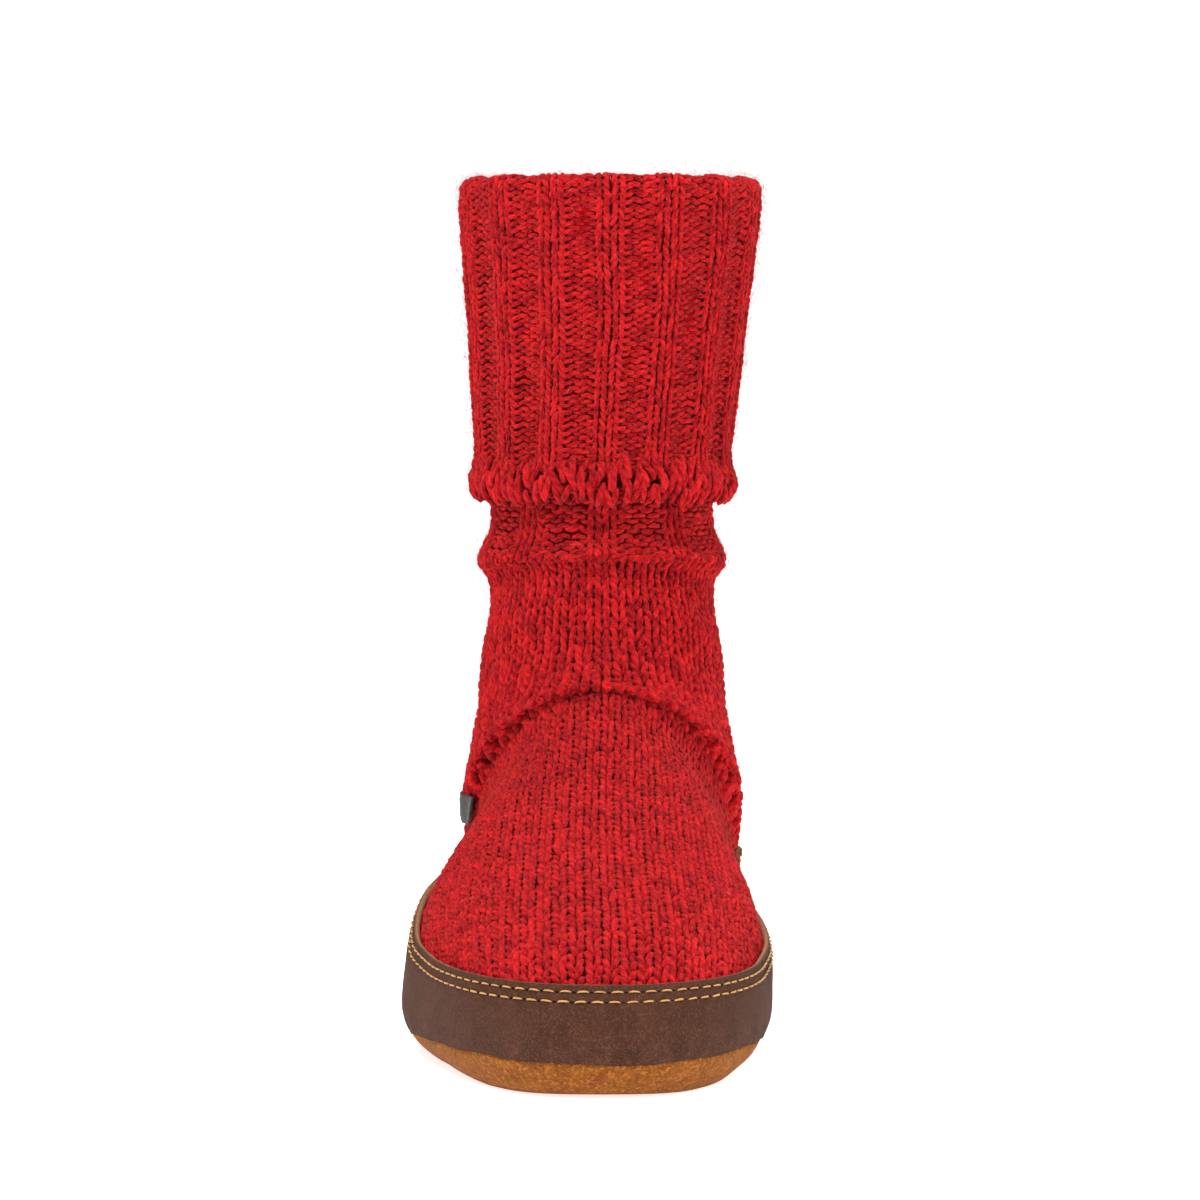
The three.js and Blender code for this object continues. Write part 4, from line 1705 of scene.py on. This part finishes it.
@dataclass
class Sole:
    """The suede sole and the footbed."""

    wrap: FootWrap
    low: Array
    footbed_stations: int = 220
    side_height: float = 5.4
    lump: float = 0.18
    seed: int = 23

    def suede(self, material: Material) -> Piece:
        """A soft dish: turned-up edge, rounded corner, flat underside, hollow inside.

        Args:
            material: Its finish.

        Returns:
            The piece.
        """
        n = self.wrap.stations
        last, s = self.wrap.last, self.wrap.last.sizes
        levels = np.array(SOLE_LEVELS)[:, None]
        shares = np.arange(n) / n
        top = np.maximum(s.seam_height - 0.2, self.low + 0.9)[None, :]
        rise = last.ground(self.wrap.places(shares, 4.4)[:, 1])[None, :]
        heights = levels * (top - rise) / levels[0] + rise
        rings = np.array([[self.wrap.touch(share, h)[0] for share, h in zip(shares, row)] for row in heights])
        out = self.wrap.level_out(shares, self.side_height)
        rng = np.random.default_rng(self.seed)
        lump = Knit.low_wave(rng, np.arange(len(heights))[:, None] / 6, shares[None, :] * TURN * 7)
        lump = lump * self.lump - 0.25
        tuck = 0.9 * np.clip((heights + 0.6 - self.low[None, :]) / 1.2, 0, 1)
        rings = list(rings + out * (lump - tuck)[..., None])
        centre = self.wrap.centres(shares)
        edge = rings[-1].copy()
        for t in (0.03, 0.09, 0.2, 0.4, 0.65, 0.88):
            ring = edge * (1 - t) + centre * t
            ring[:, 2] = 0.02 + last.ground(ring[:, 1]) + 0.1 * (1 - min(1, t * 9))
            rings.append(ring)
        inner = [ring.copy() for ring in rings[::-1][:6]]
        for ring in inner:
            ring[:, 2] += s.sole_thickness - 0.1
        wall = [
            self.wrap.places(shares, h) - out * (s.band_thickness - 0.1)
            for h in (s.seam_height - 0.2, self.side_height, 3.6)
        ]
        return self.dish("suede_sole", rings[::-1] + wall + inner[::-1]).build("suede", material, "outsole")

    @staticmethod
    def dish(name: str, rings: list[Array]) -> MeshBuilder:
        """A closed body from rings, its first and last ring filled in from side to side.

        Args:
            name: The piece's name.
            rings: The rings, with as many points each.

        Returns:
            The mesh.
        """
        n = len(rings[0])
        left = np.arange(1, n // 2)
        right = n - left
        cap = np.stack([left[:-1], left[1:], right[1:], right[:-1]], -1)
        mesh = MeshBuilder(name)
        faces = ring_faces(len(rings), n)[:, ::-1]
        mesh.add(np.stack(rings), [faces, cap[:, ::-1], cap + (len(rings) - 1) * n])
        return mesh

    def footbed(self, material: Material) -> Piece:
        """The soft footbed inside, a little crowned at its edge.

        Args:
            material: Its finish.

        Returns:
            The piece.
        """
        last, s = self.wrap.last, self.wrap.last.sizes
        shares = np.arange(self.footbed_stations) / self.footbed_stations
        inset = s.skin + s.knit_wall + s.clearance + 0.4
        rim = self.wrap.places(shares, 10.5) - self.wrap.level_out(shares, 18) * inset
        centre = self.wrap.centres(shares)
        low = s.sole_thickness + s.clearance + 0.1
        rings = []
        for t, rise in FOOTBED_PROFILE:
            ring = rim * (1 - t) + centre * t
            ring[:, 2] = low + rise + last.ground(ring[:, 1])
            rings.append(ring)
        return self.dish("footbed", rings).build("footbed", material, "insole")


@dataclass
class Fuzz:
    """Loose fibres that stand off the wool."""

    crest: Array
    out: Array
    seed: int

    def build(self, name: str, count: int, length: float, thick: float, material: Material) -> Piece:
        """Makes short bent hairs at random stitches.

        Args:
            name: The piece's name.
            count: How many hairs.
            length: Their usual length.
            thick: Their radius.
            material: Their finish.

        Returns:
            The piece.
        """
        rng = np.random.default_rng(self.seed)
        pick = rng.integers(0, len(self.crest), count)
        out = self.out[pick]
        base = self.crest[pick] + rng.normal(0, 0.9, (count, 3))
        swing = unit(np.cross(out, rng.normal(size=(count, 3))))
        bend = unit(np.cross(out, swing))
        reach = length * rng.gamma(2.2, 0.45, (count, 1, 1))
        t = np.array([0.0, 0.45, 1.0])[None, :, None]
        lift = rng.uniform(0.1, 0.9, (count, 1, 1))
        rise = out[:, None] * (t * lift - 0.25 * t * t)
        curl = bend[:, None] * rng.normal(0, 0.45, (count, 1, 1)) * t * t
        path = base[:, None] + reach * (swing[:, None] * t + rise + curl) - out[:, None] * 0.15
        radii = np.array([[0.6, 1.0, 0.3]]) * thick * np.ones((count, 1))
        points, faces, strand = yarn_bodies(path, radii, out, 3)
        heather = np.repeat(rng.random((count, 1, 3)), points.shape[1], 1)
        mesh = MeshBuilder(name)
        mesh.add(points, faces, strand=strand, heather=heather)
        return mesh.build("knit", material)


@dataclass
class Tag:
    """The bare woven tag on the outer side, its front end lifted off the knit."""

    last: Last
    at: float = 192.0
    middle: float = 62.0
    length: float = 24.0
    height: float = 10.0
    thickness: float = 0.9
    lift: float = 1.4
    rest: float = 0.6
    pressed_depth: float = 4.0
    pressed_edge: float = 1.5
    along: int = 60
    across: int = 14

    def place_at(self, y: Array, z: Array) -> tuple[Array, Array]:
        """Finds places on the knit's outer side.

        Args:
            y: Distances along the shoe.
            z: Heights.

        Returns:
            The turn and the row of each.
        """
        turn, row = np.full(y.shape, 0.82), np.full(y.shape, 12.0)
        reach = 2.0
        while reach > 0.001:
            steps_turn, steps_row = np.meshgrid(np.linspace(-0.06, 0.06, 5), np.linspace(-2, 2, 5))
            turns = turn[..., None] + steps_turn.ravel() * reach
            rows = row[..., None] + steps_row.ravel() * reach
            spots = self.last.smooth(turns, rows)
            missed = np.hypot(spots[..., 1] - y[..., None], spots[..., 2] - z[..., None])
            best = np.argmin(missed, -1)[..., None]
            turn = np.take_along_axis(turns, best, -1)[..., 0]
            row = np.take_along_axis(rows, best, -1)[..., 0]
            reach *= 0.75
        return turn, row

    def net(self) -> tuple[Array, Array]:
        """A dense net over the tag's inner face, smooth between a few places.

        Returns:
            Its points and their outward directions.
        """
        long, wide = 7, 4
        t, w = np.meshgrid(np.linspace(0, 1, long), np.linspace(0, 1, wide), indexing="ij")
        front = self.last.shift[1] - self.last.sizes.shoe_length / 2 + self.at
        y, z = front + self.length * t, self.middle + self.height * (w - 0.5)
        turn, row = self.place_at(y, z)
        out = self.last.facing(self.last.folded, turn, row)
        face = self.last.folded(turn, row) + out * (self.rest + self.lift * (1 - t) ** 2)[..., None]
        face[..., 1], face[..., 2] = y, z
        dense = []
        for values in (face, out):
            along = between(values.reshape(long, -1), np.linspace(0, long - 1, self.along))
            along = along.reshape(self.along, wide, 3).transpose(1, 0, 2)
            across = between(along.reshape(wide, -1), np.linspace(0, wide - 1, self.across))
            dense.append(across.reshape(self.across, self.along, 3).transpose(1, 0, 2))
        return dense[0], unit(dense[1])

    def press(self, lattice: Lattice, room: float = 1.35) -> Lattice:
        """The same stitches, pressed flat where they lie under the tag.

        Args:
            lattice: The stitches round the tag.
            room: How far under the tag's inner face their middles stay.

        Returns:
            The lattice.
        """
        face, out = (values.reshape(-1, 3) for values in self.net())
        places = lattice.place.reshape(-1, 3)
        near = np.nonzero(np.linalg.norm(places - face.mean(0), axis=1) < self.length)[0]
        away = np.linalg.norm(places[near, None, 1:] - face[None, :, 1:], axis=2)
        best = away.argmin(1)
        rise = np.sum((places[near] - face[best]) * out[best], 1) + room
        soft = np.clip(1.6 - away.min(1) / self.pressed_edge, 0, 1)
        places[near] -= out[best] * (np.clip(rise, 0, self.pressed_depth) * soft)[:, None]
        lattice.place = places.reshape(lattice.place.shape)
        return lattice

    def weave(self, material: Material) -> Piece:
        """A ribbed tape with rounded selvedges.

        Args:
            material: Its finish.

        Returns:
            The piece.
        """
        face, out = self.net()
        t, w = np.meshgrid(np.linspace(0, 1, self.along), np.linspace(0, 1, self.across), indexing="ij")
        rib = 0.07 * np.cos(t * TURN * 26) + 0.05 * np.cos(w * TURN * 9)
        edge = np.clip(np.minimum(w, 1 - w) * 9, 0, 1)
        full = self.thickness * (0.62 + 0.38 * np.sin(edge * math.pi / 2))
        top = face + out * ((self.thickness + full) / 2 + rib * edge)[..., None]
        low = face + out * ((self.thickness - full) / 2)[..., None]
        size = 2 * self.across
        c = np.arange(self.across - 1)
        cap = np.stack([c, c + 1, size - 2 - c, size - 1 - c], -1)
        mesh = MeshBuilder("woven_tag")
        far_cap = (cap + (self.along - 1) * size)[:, ::-1]
        mesh.add(np.concatenate([top, low[:, ::-1]], 1), [ring_faces(self.along, size), cap, far_cap])
        return mesh.build("woven_tag", material, "side_label")


@dataclass(frozen=True)
class Studio:
    """The pale floor, the soft lights and the photograph's camera."""

    focal_pixels: float = 5385.0
    frame_pixels: float = 1200.0
    distance: float = 1490.0
    height: float = 230.0
    side: float = 4.0
    tilt: float = 3.43

    def camera(self) -> None:
        """Places the camera in front of the toe, looking a little down."""
        data = bpy.data.cameras.new("camera")
        data.sensor_width = 36.0
        data.lens = self.focal_pixels / self.frame_pixels * data.sensor_width
        data.clip_end = 30
        piece = bpy.data.objects.new("camera", data)
        toe = CAD_BOX[0][1]
        piece.location = (self.side * MM, toe - self.distance * MM, self.height * MM)
        piece.rotation_euler = (math.radians(90 - self.tilt), 0, 0)
        bpy.context.scene.collection.objects.link(piece)
        bpy.context.scene.camera = piece

    def floor(self) -> None:
        """A wide pale floor."""
        mesh = bpy.data.meshes.new("floor")
        reach = 6.0
        corners = (-1, -1, 0), (1, -1, 0), (1, 2, 0), (-1, 2, 0)
        mesh.from_pydata([Vector(corner) * reach for corner in corners], [], [(0, 1, 2, 3)])
        piece = bpy.data.objects.new("floor", mesh)
        bpy.context.scene.collection.objects.link(piece)
        material = bpy.data.materials.new("floor_white")
        material.use_nodes = True
        settle(material.node_tree.nodes["Principled BSDF"], {
            "Base Color": (0.95, 0.95, 0.95, 1), "Emission Color": (1, 1, 1, 1), "Emission Strength": 0.75,
            "Roughness": 1.0, "Specular IOR Level": 0.0,
        })
        mesh.materials.append(material)

    def lamp(self, name: str, place: tuple[float, float, float], size: float, power: float) -> None:
        """One soft square lamp aimed at the shoe.

        Args:
            name: Its name.
            place: Where it hangs, in metres.
            size: Its side.
            power: Its power in watts.
        """
        data = bpy.data.lights.new(name, "AREA")
        data.size = size
        data.energy = power
        piece = bpy.data.objects.new(name, data)
        piece.location = place
        aim = Vector((0, 0, 0.12)) - Vector(place)
        piece.rotation_euler = aim.to_track_quat("-Z", "Y").to_euler()
        bpy.context.scene.collection.objects.link(piece)

    def light(self) -> None:
        """A dim white room with a bright far wall, and three soft lamps."""
        world = bpy.data.worlds.new("studio")
        world.use_nodes = True
        n = Nodes(world.node_tree)
        toward = n.put("ShaderNodeSeparateXYZ")
        n.feed(toward.inputs[0], n.put("ShaderNodeTexCoord").outputs["Generated"])
        background = world.node_tree.nodes["Background"]
        background.inputs["Color"].default_value = (1, 1, 1, 1)
        n.feed(background.inputs["Strength"], n.span(toward.outputs[1], 0.9, 0.96, 0.38, 1.05))
        bpy.context.scene.world = world
        self.lamp("key", (-0.6, -1.2, 2.0), 0.6, 46)
        self.lamp("fill", (1.3, -1.1, 0.9), 0.9, 9)
        self.lamp("top", (0.1, 0.3, 1.8), 0.8, 18)
        view = bpy.context.scene.view_settings
        view.view_transform = "Standard"
        view.look = "None"


def main() -> None:
    """Builds the slipper sock around its solids."""
    logging.basicConfig(level=logging.INFO, format="%(message)s")
    studio = Studio()
    studio.camera()
    studio.floor()
    studio.light()
    last = Last()
    LOG.info("frame shift %s", np.round(last.shift, 2))
    wool, nap = wool_group(), nap_group()
    red = WoolFinish("red_wool", (0.74, 0.014, 0.018, 1), (0.2, 0.0, 0.004, 1), 1.25).make(wool)
    # The cloth's wool is darker than the stitches' wool: painted shade for the gaps between stitches.
    under = WoolFinish("gap_shade_wool", (0.45, 0.003, 0.006, 1), (0.2, 0.0, 0.002, 1), sheen=0.1).make(wool)
    hair = WoolFinish("red_fuzz", (0.85, 0.1, 0.075, 1), (0.6, 0.03, 0.03, 1)).make(wool)
    pale = ThreadFinish("pale_fuzz", (0.8, 0.36, 0.26, 1), (0.6, 0.16, 0.12, 1)).make()
    knit, tag = Knit(last), Tag(last)
    knit.cloth(under)
    crest, crest_out = [], []
    for name, lattice, thick, purl_thick, apex, loose in (
        *((part.value, knit.cuff_lattice(part), 0.18, 0.92, 1, 1.0) for part in CuffPart),
        ("hem_stitches", knit.hem_lattice(), 0.2, 1.0, 1, 3.0),
        ("leg_stitches", tag.press(knit.leg_lattice()), 0.195, 0.9, 1, 1.0),
        ("foot_stitches", tag.press(knit.foot_lattice()), 0.215, 1.0, -1, 1.1),
    ):
        maker = StitchMaker(name, len(name), loose)
        maker.lay(lattice, thick, purl_thick, apex)
        maker.mesh.build("knit", red)
        crest += maker.crest
        crest_out += maker.crest_out
    points, away = np.concatenate(crest), np.concatenate(crest_out)
    bare = points[:, 2] > last.band_edge(points[:, 0], points[:, 1]) + 0.8
    points, away = points[bare], away[bare]
    half = len(points) // 2
    Fuzz(points[:half], away[:half], 41).build("upper_fuzz", 19000, 1.7, 0.042, hair)
    Fuzz(points[half:], away[half:], 42).build("lower_fuzz", 27000, 1.8, 0.05, hair)
    Fuzz(points, away, 43).build("pale_hairs", 420, 3.0, 0.024, pale)
    wrap = FootWrap(last)
    band = Band(wrap)
    band.leather(NapFinish(
        "brown_nubuck", base=(0.075, 0.0265, 0.014, 1), light=(0.145, 0.062, 0.037, 1),
        deep=(0.05, 0.017, 0.009, 1), patch=120.0, grain=1400.0, relief=0.0004, sheen=0.02, gloss=0.12,
        craze=0.6,
    ).make(nap))
    gold = ThreadFinish("golden_thread", (0.62, 0.32, 0.09, 1), (0.34, 0.15, 0.04, 1)).make()
    # A near-black finish that paints the shade inside the needle holes.
    hole = ThreadFinish("painted_hole_shade", (0.022, 0.008, 0.004, 1), (0.01, 0.004, 0.002, 1), sheen=0.0, gloss=0.0)
    band.stitching(gold, hole.make())
    sole = Sole(wrap, band.low)
    sole.suede(NapFinish(
        "tan_suede", base=(0.27, 0.082, 0.011, 1), light=(0.48, 0.18, 0.04, 1), deep=(0.15, 0.04, 0.005, 1),
        patch=260.0, grain=800.0, relief=0.0005, sheen=0.08, gloss=0.1, tint=(1.0, 0.6, 0.3, 1),
    ).make(nap))
    sole.footbed(NapFinish(
        "pale_felt", base=(0.5, 0.42, 0.3, 1), light=(0.62, 0.55, 0.43, 1), deep=(0.36, 0.29, 0.2, 1),
        patch=50.0, grain=800.0, relief=0.0002, sheen=0.3,
    ).make(nap))
    tape = ThreadFinish("woven_tape", (0.05, 0.052, 0.047, 1), (0.012, 0.013, 0.012, 1), 1500.0, 0.1, 0.1)
    tag.weave(tape.make())


if __name__ == "__main__":
    main()
